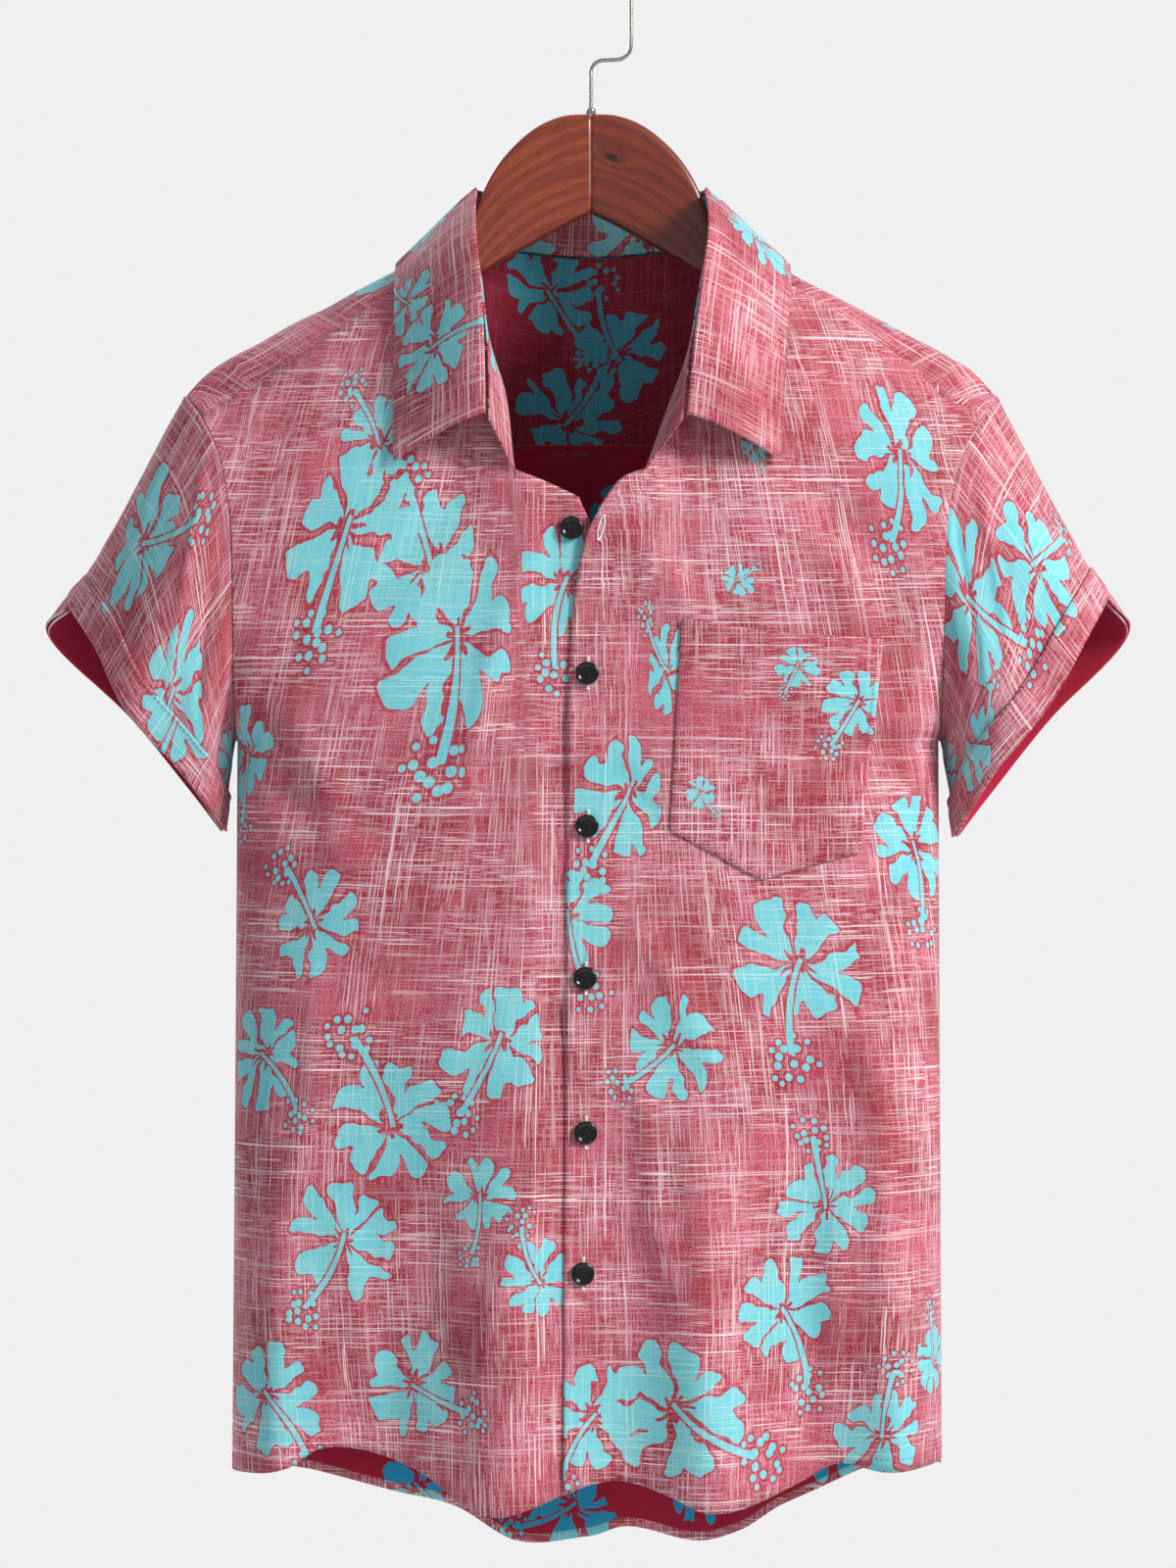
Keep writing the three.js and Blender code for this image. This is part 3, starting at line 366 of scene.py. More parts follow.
def hibiscus_group():
    """Masks of one five-petalled flower with its stamen and dots, in flower radii."""
    group = bpy.data.node_groups.new('hibiscus', 'ShaderNodeTree')
    for socket, way, kind in (('Place', 'INPUT', 'Vector'), ('Seed', 'INPUT', 'Float'),
                              ('Petal', 'OUTPUT', 'Float'), ('Rim', 'OUTPUT', 'Float')):
        group.interface.new_socket(socket, in_out=way, socket_type='NodeSocket' + kind)
    n = Net(group)
    source = n.add('NodeGroupInput')
    seed = source.outputs['Seed']
    x0, y0, _ = n.split(source.outputs['Place'])
    place = n.vec(x0, y0, n.mul(seed, 3.7))
    slow_a = n.noise(place, 2.1, 1.0, dims='3D')
    slow_b = n.noise(n.vec(n.plus(x0, 9.0), y0, n.mul(seed, 5.1)), 2.1, 1.0, dims='3D')
    fast = n.noise(place, 4.2, 1.0, dims='3D')
    x = n.plus(x0, n.mul(n.minus(slow_a, 0.5), 0.42))
    y = n.plus(y0, n.mul(n.minus(slow_b, 0.5), 0.42))
    r = n.length(x, y)
    turn = n.mul(n.math('ARCTAN2', x, y), PETALS / (2 * math.pi))
    which = n.math('ROUND', turn)
    off = n.mul(n.minus(turn, which), 2 * math.pi / PETALS)
    petal_id = n.math('FLOORED_MODULO', which, float(PETALS))
    white = n.add('ShaderNodeTexWhiteNoise', noise_dimensions='2D')
    n.put(white.inputs['Vector'], n.vec(petal_id, n.mul(seed, 1.37)))
    rnd, rnd2, _ = n.split(white.outputs['Color'])
    size = n.map(rnd, 0.0, 1.0, 0.82, 1.06, smooth=False)
    off = n.plus(off, n.mul(n.minus(rnd2, 0.5), 0.16))
    pa = n.over(n.mul(r, n.math('COSINE', off)), size)
    pb = n.mul(r, n.math('SINE', off))
    side = n.math('ABSOLUTE', pb)
    wide = n.map(rnd2, 0.0, 1.0, 0.60, 0.44, smooth=False)
    flank = n.minus(side, n.minus(n.mul(pa, wide), 0.012))
    flank = n.mul(flank, 0.86)
    cleft = n.over(n.plus(off, n.mul(n.minus(rnd, 0.5), 0.3)), 0.11)
    cleft = n.math('EXPONENT', n.mul(n.mul(cleft, cleft), -1.0))
    reach = n.minus(1.05, n.mul(cleft, n.map(rnd2, 0.0, 1.0, 0.52, 0.14, smooth=False)))
    tip = n.minus(n.over(r, size), reach)
    form = n.math('SMOOTH_MAX', flank, tip, 0.16)
    form = n.plus(form, n.mul(n.minus(fast, 0.5), 0.13))
    # Dark star at the middle, with a ray up each petal
    form = n.most(form, n.minus(0.1, r))
    ray = n.minus(side, n.minus(0.062, n.mul(pa, 0.13)))
    ray = n.most(ray, n.minus(pa, n.map(rnd, 0.0, 1.0, 0.20, 0.34, smooth=False)))
    form = n.most(form, n.mul(ray, -1.0))
    # Stamen: a bent stem below the middle
    bend = n.minus(n.math('FRACT', n.mul(seed, 0.618)), 0.5)
    axis = n.mul(n.mul(y0, y0), n.mul(bend, 0.5))
    stem = n.minus(n.math('ABSOLUTE', n.minus(x0, axis)), n.map(y0, -1.5, 0.0, 0.062, 0.036))
    ends = n.most(n.minus(y0, 0.1), n.minus(STEM_END, y0))
    stem = n.most(stem, ends)
    # Dots round the tip of the stamen
    voronoi = n.add('ShaderNodeTexVoronoi', voronoi_dimensions='2D', feature='F1')
    n.put(voronoi.inputs['Vector'], n.vec(n.plus(x0, n.mul(seed, 3.1)), y0))
    voronoi.inputs['Scale'].default_value = DOT_SCALE
    voronoi.inputs['Randomness'].default_value = 0.62
    cell = n.split(voronoi.outputs['Position'])
    cx = n.minus(cell[0], n.mul(seed, 3.1))
    tip_x = n.mul(bend, 1.15)
    ex = n.over(n.minus(cx, tip_x), 0.44)
    ey = n.over(n.plus(cell[1], DOTS_AT), 0.42)
    near = n.length(ex, ey)
    dot = n.minus(n.over(voronoi.outputs['Distance'], DOT_SCALE),
                  n.map(near, 0.5, 1.0, 0.064, 0.044))
    dot = n.most(dot, n.mul(n.minus(near, 1.0), 3.0))
    # Petals open a dark channel beside the stem
    form = n.most(form, n.minus(0.034, stem))
    whole = n.math('MINIMUM', n.math('MINIMUM', form, stem), dot)
    petal = n.map(whole, 0.008, -0.008)
    rim = n.map(whole, 0.052, 0.036)
    rim = n.mul(rim, n.minus(1.0, petal))
    sink = n.add('NodeGroupOutput')
    n.put(sink.inputs['Petal'], petal)
    n.put(sink.inputs['Rim'], rim)
    return group


HIBISCUS = hibiscus_group()


def print_masks(n):
    """Petals and rims of the two flowers nearest to a place."""
    masks = []
    for number in ('1', '2'):
        motif = n.add('ShaderNodeUVMap', uv_map='motif' + number)
        seed = n.add('ShaderNodeAttribute', attribute_name='seed' + number)
        flower = n.add('ShaderNodeGroup')
        flower.node_tree = HIBISCUS
        n.put(flower.inputs['Place'], motif.outputs[0])
        n.put(flower.inputs['Seed'], seed.outputs['Fac'])
        masks.append((flower.outputs['Petal'], flower.outputs['Rim']))
    petal = n.most(masks[0][0], masks[1][0])
    rim = n.most(masks[0][1], masks[1][1])
    return petal, n.mul(rim, n.minus(1.0, petal))


def cloth_material(name, reverse=False, shaded_lining=False):
    """Printed slub cloth: the right side is crossed by pale thread, the reverse is flat. The lining copy is the inner
    yoke's right side with weaker slub, darkened as painted shade.
    """
    material, n = new_material(name)
    petal, rim = print_masks(n)
    weave = n.add('ShaderNodeUVMap', uv_map='cloth')
    u, v, _ = n.split(weave.outputs[0])
    u = n.mul(u, 1000.0)
    v = n.mul(v, 1000.0)
    drift = n.mul(n.minus(n.noise(n.vec(u, v), 0.006, 1.0), 0.5), 4.0)
    warp_u = n.plus(u, drift)
    warp_v = n.plus(v, drift)

    def threads(along, across, shift):
        """Long pale slubs along one way of the cloth, fine and bold."""
        def rows(pitch, width, length, low, high, seed):
            """One thread in each strip of the cloth, there and gone along its length."""
            place = n.over(across, pitch)
            cell = n.math('FLOOR', place)
            white = n.add('ShaderNodeTexWhiteNoise', noise_dimensions='1D')
            n.put(white.inputs['W'], n.plus(cell, shift + seed))
            off, power, _ = n.split(white.outputs['Color'])
            middle = n.mul(n.minus(off, 0.5), 1 - width / pitch)
            gap = n.minus(n.minus(place, cell), n.plus(middle, 0.5))
            line = n.map(n.math('ABSOLUTE', gap), width / pitch * 0.62, width / pitch * 0.36)
            at = n.vec(n.over(along, length), n.mul(cell, 7.31), shift + seed)
            there = n.map(n.noise(at, 1.0, 1.0, 0.5, '3D'), low, high)
            strong = n.map(power, 0.0, 1.0, 0.45, 1.0, smooth=False)
            return n.mul(n.mul(line, there), strong)

        fine = n.mul(rows(1.15, 0.45, 16, 0.44, 0.56, 1), 0.62)
        middle = n.mul(rows(2.7, 0.54, 30, 0.47, 0.57, 40), 1.0)
        bold = rows(7.5, 0.8, 60, 0.49, 0.56, 80)
        at = n.vec(n.mul(along, 1 / 90), n.mul(across, 1 / 26), shift + 9)
        patch = n.noise(at, 1.0, 1.0, 0.5, '3D')
        keep = n.map(patch, 0.34, 0.62, 0.24, 1.0)
        return n.mul(n.most(n.most(fine, middle), bold), keep)

    cross = threads(warp_u, warp_v, 0.0)
    down = threads(warp_v, warp_u, 20.0)
    speckle = n.noise(n.vec(u, v), 1.45, 1.0, 0.6)
    speckle = n.map(speckle, 0.47, 0.57)
    cloud = n.noise(n.vec(u, v), 0.02, 2.0, 0.55)
    slub = n.most(cross, down)
    height = n.plus(n.mul(slub, 0.6), n.mul(speckle, 0.4))
    if reverse:
        crimson = n.blend(n.mul(speckle, 0.25), linear(172, 30, 56), linear(190, 52, 78))
        turquoise = n.blend(n.mul(speckle, 0.25), linear(38, 158, 200), linear(80, 182, 214))
        colour = n.blend(petal, crimson, turquoise)
    else:
        deep = n.blend(n.map(cloud, 0.3, 0.7), linear(150, 8, 36), linear(170, 24, 54))
        pale = n.mul(speckle, n.map(cloud, 0.3, 0.7, 0.24, 0.54))
        ground = n.blend(pale, deep, linear(232, 160, 178))
        ground = n.blend(n.mul(slub, 0.94), ground, linear(255, 234, 238))
        flower = n.blend(n.mul(speckle, 0.4), linear(104, 196, 208), linear(150, 222, 224))
        flower = n.blend(n.mul(slub, 0.7), flower, linear(206, 238, 232))
        ground = n.blend(n.mul(rim, 0.6), ground, linear(170, 26, 56))
        # Inner yoke's own right side, weaker slub; its darker ground and flowers are painted shade for inside the neck
        if shaded_lining:
            ground = n.blend(n.mul(slub, 0.3), linear(150, 34, 54), linear(226, 140, 156))
            flower = n.blend(n.mul(slub, 0.4), linear(70, 160, 180), linear(150, 205, 210))
        colour = n.blend(petal, ground, flower)
    n.surface(colour, {'Roughness': 0.86, 'Specular IOR Level': 0.18, 'Sheen Weight': 0.12, 'Sheen Roughness': 0.5},
              height, 0.35, 0.00035)
    return material


CLOTH_FACE = cloth_material('printed_cloth')
CLOTH_BACK = cloth_material('printed_cloth_reverse', reverse=True)
# Lining: a darker copy of the right side, painted shade for the inner yoke
CLOTH_LINING_SHADED = cloth_material('printed_cloth_lining_painted_shade', shaded_lining=True)


# A flower's radius in the print, over the radius in the tables
FLOWER_REACH = 1.82


# Flower places: where on the piece, radius, and the way the stamen points, in millimetres
def flowers(rows):
    keys = ('x', 'z', 'radius', 'dx', 'dz', 'seed')
    return [dict(zip(keys, (*row, 1 + k * 0.731 + row[2] * 0.13))) for k, row in enumerate(rows)]


def laid_motifs(uv, where, rows):
    """Centres of the flowers in cloth lengths, from their places on the piece."""
    out = []
    flat_uv = uv.reshape(-1, 2)
    flat_at = where.reshape(-1, 2)
    for f in flowers(rows):
        gap = ((flat_at - (f['x'], f['z'])) ** 2).sum(axis=1)
        k = int(gap.argmin())
        centre = flat_uv[k] + (np.array((f['x'], f['z'])) - flat_at[k])
        down = np.array((f['dx'], f['dz']), float)
        down /= np.linalg.norm(down) or 1
        out.append((centre, f['radius'] * FLOWER_REACH, down, f['seed']))
    return out


def motif_uv(corners, motifs):
    """Flower coordinates of every face corner, by the two flowers nearest to the face."""
    n = len(corners)
    middle = corners.mean(axis=1)
    gaps = []
    for centre, radius, down, _ in motifs:
        end = centre + down * radius * DOTS_AT
        along = np.clip(((middle - centre) @ down) / (radius * DOTS_AT), 0, 1)
        foot = centre + along[:, None] * (end - centre)
        gaps.append(np.linalg.norm(middle - foot, axis=1) / radius)
    order = np.argsort(np.array(gaps), axis=0)[:2]
    local = np.full((2, n, 4, 2), 9.0)
    seed = np.zeros((2, n))
    for rank in (0, 1):
        for k, (centre, radius, down, kind) in enumerate(motifs):
            take = order[rank] == k
            up = -down
            right = np.array((up[1], -up[0]))
            rel = (corners[take] - centre) / radius
            local[rank, take] = np.stack((rel @ right, rel @ up), axis=-1)
            seed[rank, take] = kind
    return local, seed


def grid_normals(grid, around, outward):
    if around:
        du = np.roll(grid, -1, axis=1) - np.roll(grid, 1, axis=1)
    else:
        du = np.gradient(grid, axis=1)
    dv = np.gradient(grid, axis=0)
    normal = np.cross(du, dv)
    length = np.linalg.norm(normal, axis=2, keepdims=True)
    normal /= np.maximum(length, 1e-9)
    if (normal * outward(grid)).sum() < 0:
        normal = -normal
    return normal


def lengths(grid, axis):
    """Running length of cloth along one way of a grid."""
    step_len = np.linalg.norm(np.diff(grid, axis=axis), axis=2)
    total = np.cumsum(step_len, axis=axis)
    zero = np.zeros_like(np.take(total, [0], axis=axis))
    return np.concatenate((zero, total), axis=axis)


def add_mesh(name, verts, faces, materials, slot_name):
    mesh = bpy.data.meshes.new(name)
    mesh.from_pydata((np.asarray(verts) * 0.001).tolist(), [], faces)
    for material in materials:
        mesh.materials.append(material)
    mesh.shade_smooth()
    obj = bpy.data.objects.new(name, mesh)
    bpy.context.scene.collection.objects.link(obj)
    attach(obj, 'root')
    return obj


def cloth_piece(name, grid, uv, motifs, outward, wall=CLOTH, around=False, inner_face=None, hem=0.0):
    """A closed thin wall on a grid of outer points, with print and weave coordinates."""
    normal = grid_normals(grid, around, outward)
    nj, ni = grid.shape[:2]
    inner = grid - normal * wall
    verts = np.concatenate((grid.reshape(-1, 3), inner.reshape(-1, 3)))
    cols = ni if around else ni - 1
    j, i = np.meshgrid(np.arange(nj - 1), np.arange(cols), indexing='ij')
    j = j.ravel()
    i = i.ravel()
    nxt = (i + 1) % ni
    quad = np.stack((j * ni + i, j * ni + nxt, (j + 1) * ni + nxt, (j + 1) * ni + i), axis=1)
    corner = np.stack((uv[j, i], uv[j, i + 1], uv[j + 1, i + 1], uv[j + 1, i]), axis=1)
    faces = [quad, quad[:, ::-1] + nj * ni]
    corners = [corner, corner[:, ::-1]]
    run = lengths(grid, 0)
    near_hem = (run[-1:] - run)[j, i] < hem
    kinds = [np.zeros(len(quad), int), np.where(near_hem, 0, 1)]

    def rim(a, b, ua, ub):
        """Edge of the wall between outer points a and b."""
        faces.append(np.stack((b, a, a + nj * ni, b + nj * ni), axis=1))
        corners.append(np.stack((ub, ua, ua, ub), axis=1))
        kinds.append(np.zeros(len(a), int))

    c = np.arange(cols)
    n1 = (c + 1) % ni
    rim(c, n1, uv[0, c], uv[0, c + 1])
    last = (nj - 1) * ni
    rim(last + n1, last + c, uv[-1, c + 1], uv[-1, c])
    if not around:
        r = np.arange(nj - 1)
        rim((r + 1) * ni, r * ni, uv[r + 1, 0], uv[r, 0])
        rim(r * ni + ni - 1, (r + 1) * ni + ni - 1, uv[r, -1], uv[r + 1, -1])
    faces = np.concatenate(faces)
    corners = np.concatenate(corners)
    kinds = np.concatenate(kinds)
    du = verts[faces[0, 1]] - verts[faces[0, 0]]
    dv = verts[faces[0, 3]] - verts[faces[0, 0]]
    if np.dot(np.cross(du, dv), normal.reshape(-1, 3)[0]) < 0:
        faces = faces[:, ::-1]
        corners = corners[:, ::-1]
    obj = add_mesh(name, verts, faces.tolist(), [CLOTH_FACE, inner_face or CLOTH_BACK], 'printed_cloth')
    mesh = obj.data
    mesh.polygons.foreach_set('material_index', kinds)
    local, seed = motif_uv(corners, motifs)
    cloth_uv = mesh.uv_layers.new(name='cloth')
    cloth_uv.data.foreach_set('uv', (corners.reshape(-1) * 0.001))
    for rank in (0, 1):
        motif_layer = mesh.uv_layers.new(name='motif%d' % (rank + 1))
        motif_layer.data.foreach_set('uv', local[rank].reshape(-1))
        attribute = mesh.attributes.new('seed%d' % (rank + 1), 'FLOAT', 'FACE')
        attribute.data.foreach_set('value', seed[rank])
    mesh.update()
    return obj, normal


def radial(grid):
    out = grid.copy()
    out[..., 0] *= 0.3
    out[..., 2] = 0
    return out


# Height of the drawn creases over the heights in the tables
CREASE_GAIN = 1.7
# Hem stitches above the edge, and the depth of right side that shows behind it
HEM_TURN = 7.0
HEM_FACE = 6.5


# Main creases of the body: from, to, half width, height (a ridge is plus, a trough is minus)
def crease_rows(rows):
    return [dict(zip(('x0', 'z0', 'x1', 'z1', 'wide', 'high'), row)) for row in rows]


def crease(rows, x, z):
    """Swell of the creases at a place; each fades at its ends and bends a little."""
    swell = 0.0
    for n, row in enumerate(rows):
        dx = row['x1'] - row['x0']
        dz = row['z1'] - row['z0']
        long2 = dx * dx + dz * dz
        t = ((x - row['x0']) * dx + (z - row['z0']) * dz) / long2
        if t < -0.15 or t > 1.15:
            continue
        long = math.sqrt(long2)
        bend = math.sin(t * 5 + n * 1.7) * row['wide'] * 0.35
        off = ((x - row['x0']) * dz - (z - row['z0']) * dx) / long - bend
        if abs(off) > row['wide'] * 3:
            continue
        fade = step(-0.15, 0.25, t) * (1 - step(0.7, 1.15, t))
        swell += row['high'] * CREASE_GAIN * fade * math.exp(-(off / row['wide']) ** 2)
    return swell


CREASES_RIGHT = crease_rows([
    (-30, -330, -75, -470, 9, 1.6), (-60, -300, -150, -380, 12, -1.6), (-175, -420, -120, -520, 11, 1.8),
    (-190, -455, -110, -500, 8, -1.5), (-40, -560, -110, -640, 10, 1.4), (-150, -560, -165, -700, 9, 1.5),
    (-20, -640, -60, -780, 8, 1.3), (-90, -690, -70, -830, 10, -1.6), (-135, -700, -120, -820, 8, 1.5),
    (-16, -420, -60, -450, 6, 1.0), (-16, -500, -70, -545, 6, 1.0), (-16, -590, -50, -615, 6, -0.9),
])
CREASES_LEFT = crease_rows([
    (30, -330, 60, -380, 9, 1.4), (120, -300, 175, -370, 12, -1.5), (185, -430, 130, -540, 11, 1.8),
    (190, -470, 150, -560, 8, -1.5), (40, -560, 100, -680, 10, 1.4), (150, -590, 165, -720, 9, 1.5),
    (20, -620, 50, -760, 8, 1.3), (95, -700, 80, -830, 10, -1.6), (140, -690, 125, -820, 8, 1.4),
    (10, -455, 45, -500, 6, -1.0), (12, -540, 60, -580, 6, 1.0), (10, -690, 45, -720, 6, 1.0),
])
CREASES_BACK = crease_rows([
    (-170, -330, -110, -460, 12, 1.8), (-180, -430, -90, -520, 9, -1.6), (-60, -420, -80, -640, 10, 1.5),
    (-20, -520, -40, -720, 9, -1.4), (30, -450, 20, -660, 10, 1.5), (80, -400, 60, -560, 9, -1.5),
    (175, -350, 120, -480, 12, 1.9), (185, -450, 110, -560, 9, -1.6), (130, -620, 140, -790, 9, 1.6),
    (-140, -600, -120, -800, 10, 1.5), (60, -660, 70, -840, 8, 1.4), (0, -700, 10, -850, 9, -1.3),
])


def fine_ripple(u, v, size):
    """Small unevenness of worn cotton."""
    p = Vector((u * 0.045, v * 0.03, size))
    return noise.noise(p) * 0.95 + noise.noise(Vector((u * 0.11, v * 0.10, size + 7))) * 0.42


def hem_band(gap, wide):
    """The turned hem stands up a little and puckers beside its stitches."""
    return 0.45 * (1 - step(wide - 1.5, wide + 1.5, gap)) - 0.35 * math.exp(-((gap - wide) / 1.6) ** 2)


PLACKET_WIDTH = 26


# Fronts
def front_panel(hand):
    over = hand > 0
    rows_edge = EDGE_OVER if over else EDGE_UNDER
    lapel = LAPEL_OVER if over else LAPEL_UNDER
    end_station = 14 if over else 0
    seam_station = yoke_station(hand, SEAM)
    seam_x = neck_seam(seam_station)[0]
    end_x, end_z = armhole_corner(hand, YOKE_FRONT['drop'][6 if over else 0] + SEAM)

    def top(c):
        if c <= 0.08:
            return read(lapel, 'u', 'x', c / 0.08), read(lapel, 'u', 'z', c / 0.08)
        if c <= 0.36:
            return neck_seam(mix(end_station, seam_station, (c - 0.08) / 0.28))
        x = mix(seam_x, end_x, (c - 0.36) / 0.64)
        drop = read(YOKE_FRONT, 'x', 'drop', x) + SEAM
        return x, mix(ridge(x) - drop, end_z, max(0.0, (c - 0.9) / 0.1))

    hem_edge = edge_at(-850, hand)

    def bottom(c):
        x = mix(rows_edge['x'][-1], hem_edge, c)
        return x, read(HEM_FRONT, 'x', 'z', x)

    inner = stray(lambda t: read(rows_edge, 't', 'x', t))
    outer = stray(lambda t: edge_at(mix(end_z, bottom(1)[1], t), hand))
    columns = [0, 0.027, 0.054, 0.08, 0.115, 0.15, 0.185, 0.22, 0.255, 0.29, 0.325, 0.36]
    columns += [c for c in (math.sin(math.pi / 2 * k) for k in even(15)) if c > 0.41]
    rows = [0, 0.02, 0.04, 0.06, 0.09, 0.13, 0.17, 0.22] + [mix(0.22, 1, k) for k in even(15)[1:]]
    columns = refine(columns, 4)
    rows = refine(rows, 6)
    creases = CREASES_LEFT if over else CREASES_RIGHT
    grid = np.zeros((len(rows), len(columns), 3))
    tops = [top(c) for c in columns]
    bottoms = [bottom(c) for c in columns]
    for j, t in enumerate(rows):
        bow_in = inner(t)
        bow_out = outer(t)
        for i, c in enumerate(columns):
            x = mix(tops[i][0], bottoms[i][0], t) + bow_in * max(0.0, 1 - c / 0.12) ** 1.5 + bow_out * c ** 3
            z = mix(tops[i][1], bottoms[i][1], t)
            if i == len(columns) - 1:
                x = edge_at(z, hand)
            side = 1 - step(0.93, 1.0, c)
            lift = crease(creases, x, z) * side * step(0, 0.03, t)
            lift += fine_ripple(x, z, hand * 3) * side * step(0, 0.02, t) * 0.8
            lift += hem_band(z - bottoms[i][1], HEM_TURN) * 0.8
            if over:
                groove = (x - read(rows_edge, 't', 'x', t) - PLACKET_WIDTH) / 1.2
                lift -= 0.3 * math.exp(-groove ** 2) * step(0.05, 0.12, t)
            grid[j, i] = front_point(x, z, over, lift)
    # The top edge runs on under the yoke, and a little way into the collar
    tuck = np.array([[0, 2.0, 1.5 + 3.5 * step(0.34, 0.38, c)] for c in columns])
    return np.concatenate((grid[:1] + tuck, grid))


def panel_uv(grid):
    """Cloth lengths across each row, measured from the column nearest the middle, and height."""
    across = lengths(grid, 1)
    nearest = np.abs(grid[..., 0]).argmin(axis=1)
    zero = across[np.arange(len(grid)), nearest]
    start = grid[np.arange(len(grid)), nearest, 0]
    direction = 1 if grid[0, -1, 0] > grid[0, 0, 0] else -1
    u = (across - zero[:, None]) * direction + start[:, None]
    return np.stack((u, grid[..., 2]), axis=-1)


MOTIFS_RIGHT = [
    (-132.7, -321.6, 23.6, -16, -110), (-73.1, -383.4, 26.9, 23, -105), (-14.0, -353.9, 17.7, -40, -90),
    (-87.6, -343.2, 20.0, -30, 60), (-152.1, -541.9, 16.1, -40, 60), (-180.0, -614.4, 15.0, 77, -45),
    (-109.1, -649.3, 19.3, -25, 110), (-50.0, -603.7, 18.3, -30, -85), (-60.7, -689.6, 11.8, 5, -60),
    (-135.9, -713.7, 16.7, -15, -65), (-28.5, -735.2, 11.8, -30, 40), (-117.1, -276.0, 15.0, -45, 70),
    (-190.0, -450.0, 14.0, 20, -50), (-96.0, -795.0, 15.0, 40, -20), (-178.0, -800.0, 17.0, 40, -50),
]
MOTIFS_LEFT = [
    (170.4, -284.1, 19.9, -25, -110), (19.9, -469.4, 18.3, -40, -65), (-12.4, -536.5, 16.1, 10, -110),
    (44.1, -608.9, 14.5, -60, -60), (113.9, -563.4, 18.8, -45, -85), (178.4, -499.0, 16.7, 10, -90),
    (128.4, -695.0, 14.5, -12, 65), (105.9, -754.0, 16.7, 50, -65), (46.7, -805.0, 21.0, 50, -50),
    (1.1, -810.3, 15.0, -40, -40), (159.6, -821.0, 13.4, -5, 60), (189.2, -783.5, 10.7, -15, 60),
    (41.4, -402.3, 13.4, -30, 20), (80.0, -353.0, 5.5, 20, 5), (90.0, -280.0, 4.5, 10, -30),
    (20.0, -270.0, 6.0, -8, -20),
]


def mesh_front(hand):
    grid = front_panel(hand)
    uv = panel_uv(grid)
    name = 'cloth_front_left' if hand > 0 else 'cloth_front_right'
    where = grid[..., [0, 2]]
    motifs = laid_motifs(uv, where, MOTIFS_LEFT if hand > 0 else MOTIFS_RIGHT)
    obj, normal = cloth_piece(name, grid, uv, motifs, radial, hem=HEM_FACE)
    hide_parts('front_left' if hand > 0 else 'front_right')
    return obj, grid, normal


FRONT_RIGHT, GRID_RIGHT, NORMAL_RIGHT = mesh_front(-1)
FRONT_LEFT, GRID_LEFT, NORMAL_LEFT = mesh_front(1)


# Back
def back_panel():
    z0 = BACK_SEAM - SEAM
    left0, right0 = edge_at(z0, -1), edge_at(z0, 1)
    left1, right1 = edge_at(-850, -1), edge_at(-850, 1)

    def bottom(c):
        x = mix(left1, right1, c)
        return x, read(HEM_BACK, 'x', 'z', x)

    strays = [stray(lambda t, h=h, e=e: edge_at(mix(z0, bottom(e)[1], t), h)) for h, e in ((-1, 0), (1, 1))]
    columns = refine([(1 - math.cos(math.pi * k)) / 2 for k in even(32)], 5)
    rows = refine(even(20), 6)
    grid = np.zeros((len(rows), len(columns), 3))
    for j, t in enumerate(rows):
        a = strays[0](t)
        b = strays[1](t)
        for i, c in enumerate(columns):
            low_x, low_z = bottom(c)
            x = mix(mix(left0, right0, c), low_x, t) + a * (1 - c) ** 3 + b * c ** 3
            z = mix(z0, low_z, t)
            if i in (0, len(columns) - 1):
                x = edge_at(z, -1 if i == 0 else 1)
            side = step(0.0, 0.03, c) * (1 - step(0.97, 1.0, c))
            lift = crease(CREASES_BACK, x, z) * side * step(0, 0.04, t)
            lift += fine_ripple(x, z, 11) * side * step(0, 0.02, t) * 0.8
            lift += hem_band(z - low_z, HEM_TURN) * 0.8
            grid[j, i] = body(x, z, 1, -lift)
            grid[j, i, 1] += SEAM / 2
    # The top edge runs on under the yoke
    return np.concatenate((grid[:1] + np.array([0, -2.0, 6.0]), grid))


MOTIFS_BACK = [
    (-140, -330, 24, 20, -90), (-60, -360, 19, -30, -80), (40, -330, 26, 25, -80), (130, -365, 20, -20, -90),
    (-165, -445, 17, 50, -30), (-95, -460, 22, -30, 70), (-10, -440, 17, 40, -60), (80, -450, 24, -45, -60),
    (165, -470, 18, -10, -80), (-130, -550, 21, 30, -80), (-40, -530, 18, -40, -60), (35, -545, 23, 10, -90),
    (120, -560, 17, 45, 60), (-175, -640, 16, 40, -60), (-85, -640, 24, -20, -80), (0, -650, 17, 40, 50),
    (75, -655, 22, -40, -70), (160, -650, 19, 10, -90), (-130, -745, 20, 35, -70), (-45, -740, 19, -35, -60),
    (30, -755, 24, 20, -80), (115, -750, 18, -40, 60), (180, -760, 16, -20, -60), (-170, -820, 17, 30, 40),
    (-100, -866, 13, 30, -30), (-10, -880, 15, -40, -30), (62, -872, 12, 30, 40), (140, -830, 17, 30, 40),
]
GRID_BACK = back_panel()
UV_BACK = panel_uv(GRID_BACK)
BACK, NORMAL_BACK = cloth_piece(
    'cloth_back', GRID_BACK, UV_BACK, laid_motifs(UV_BACK, GRID_BACK[..., [0, 2]], MOTIFS_BACK),
    radial, hem=HEM_FACE)
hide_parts('back')


# Yoke
def root(v):
    return math.copysign(math.sqrt(abs(v)), v)


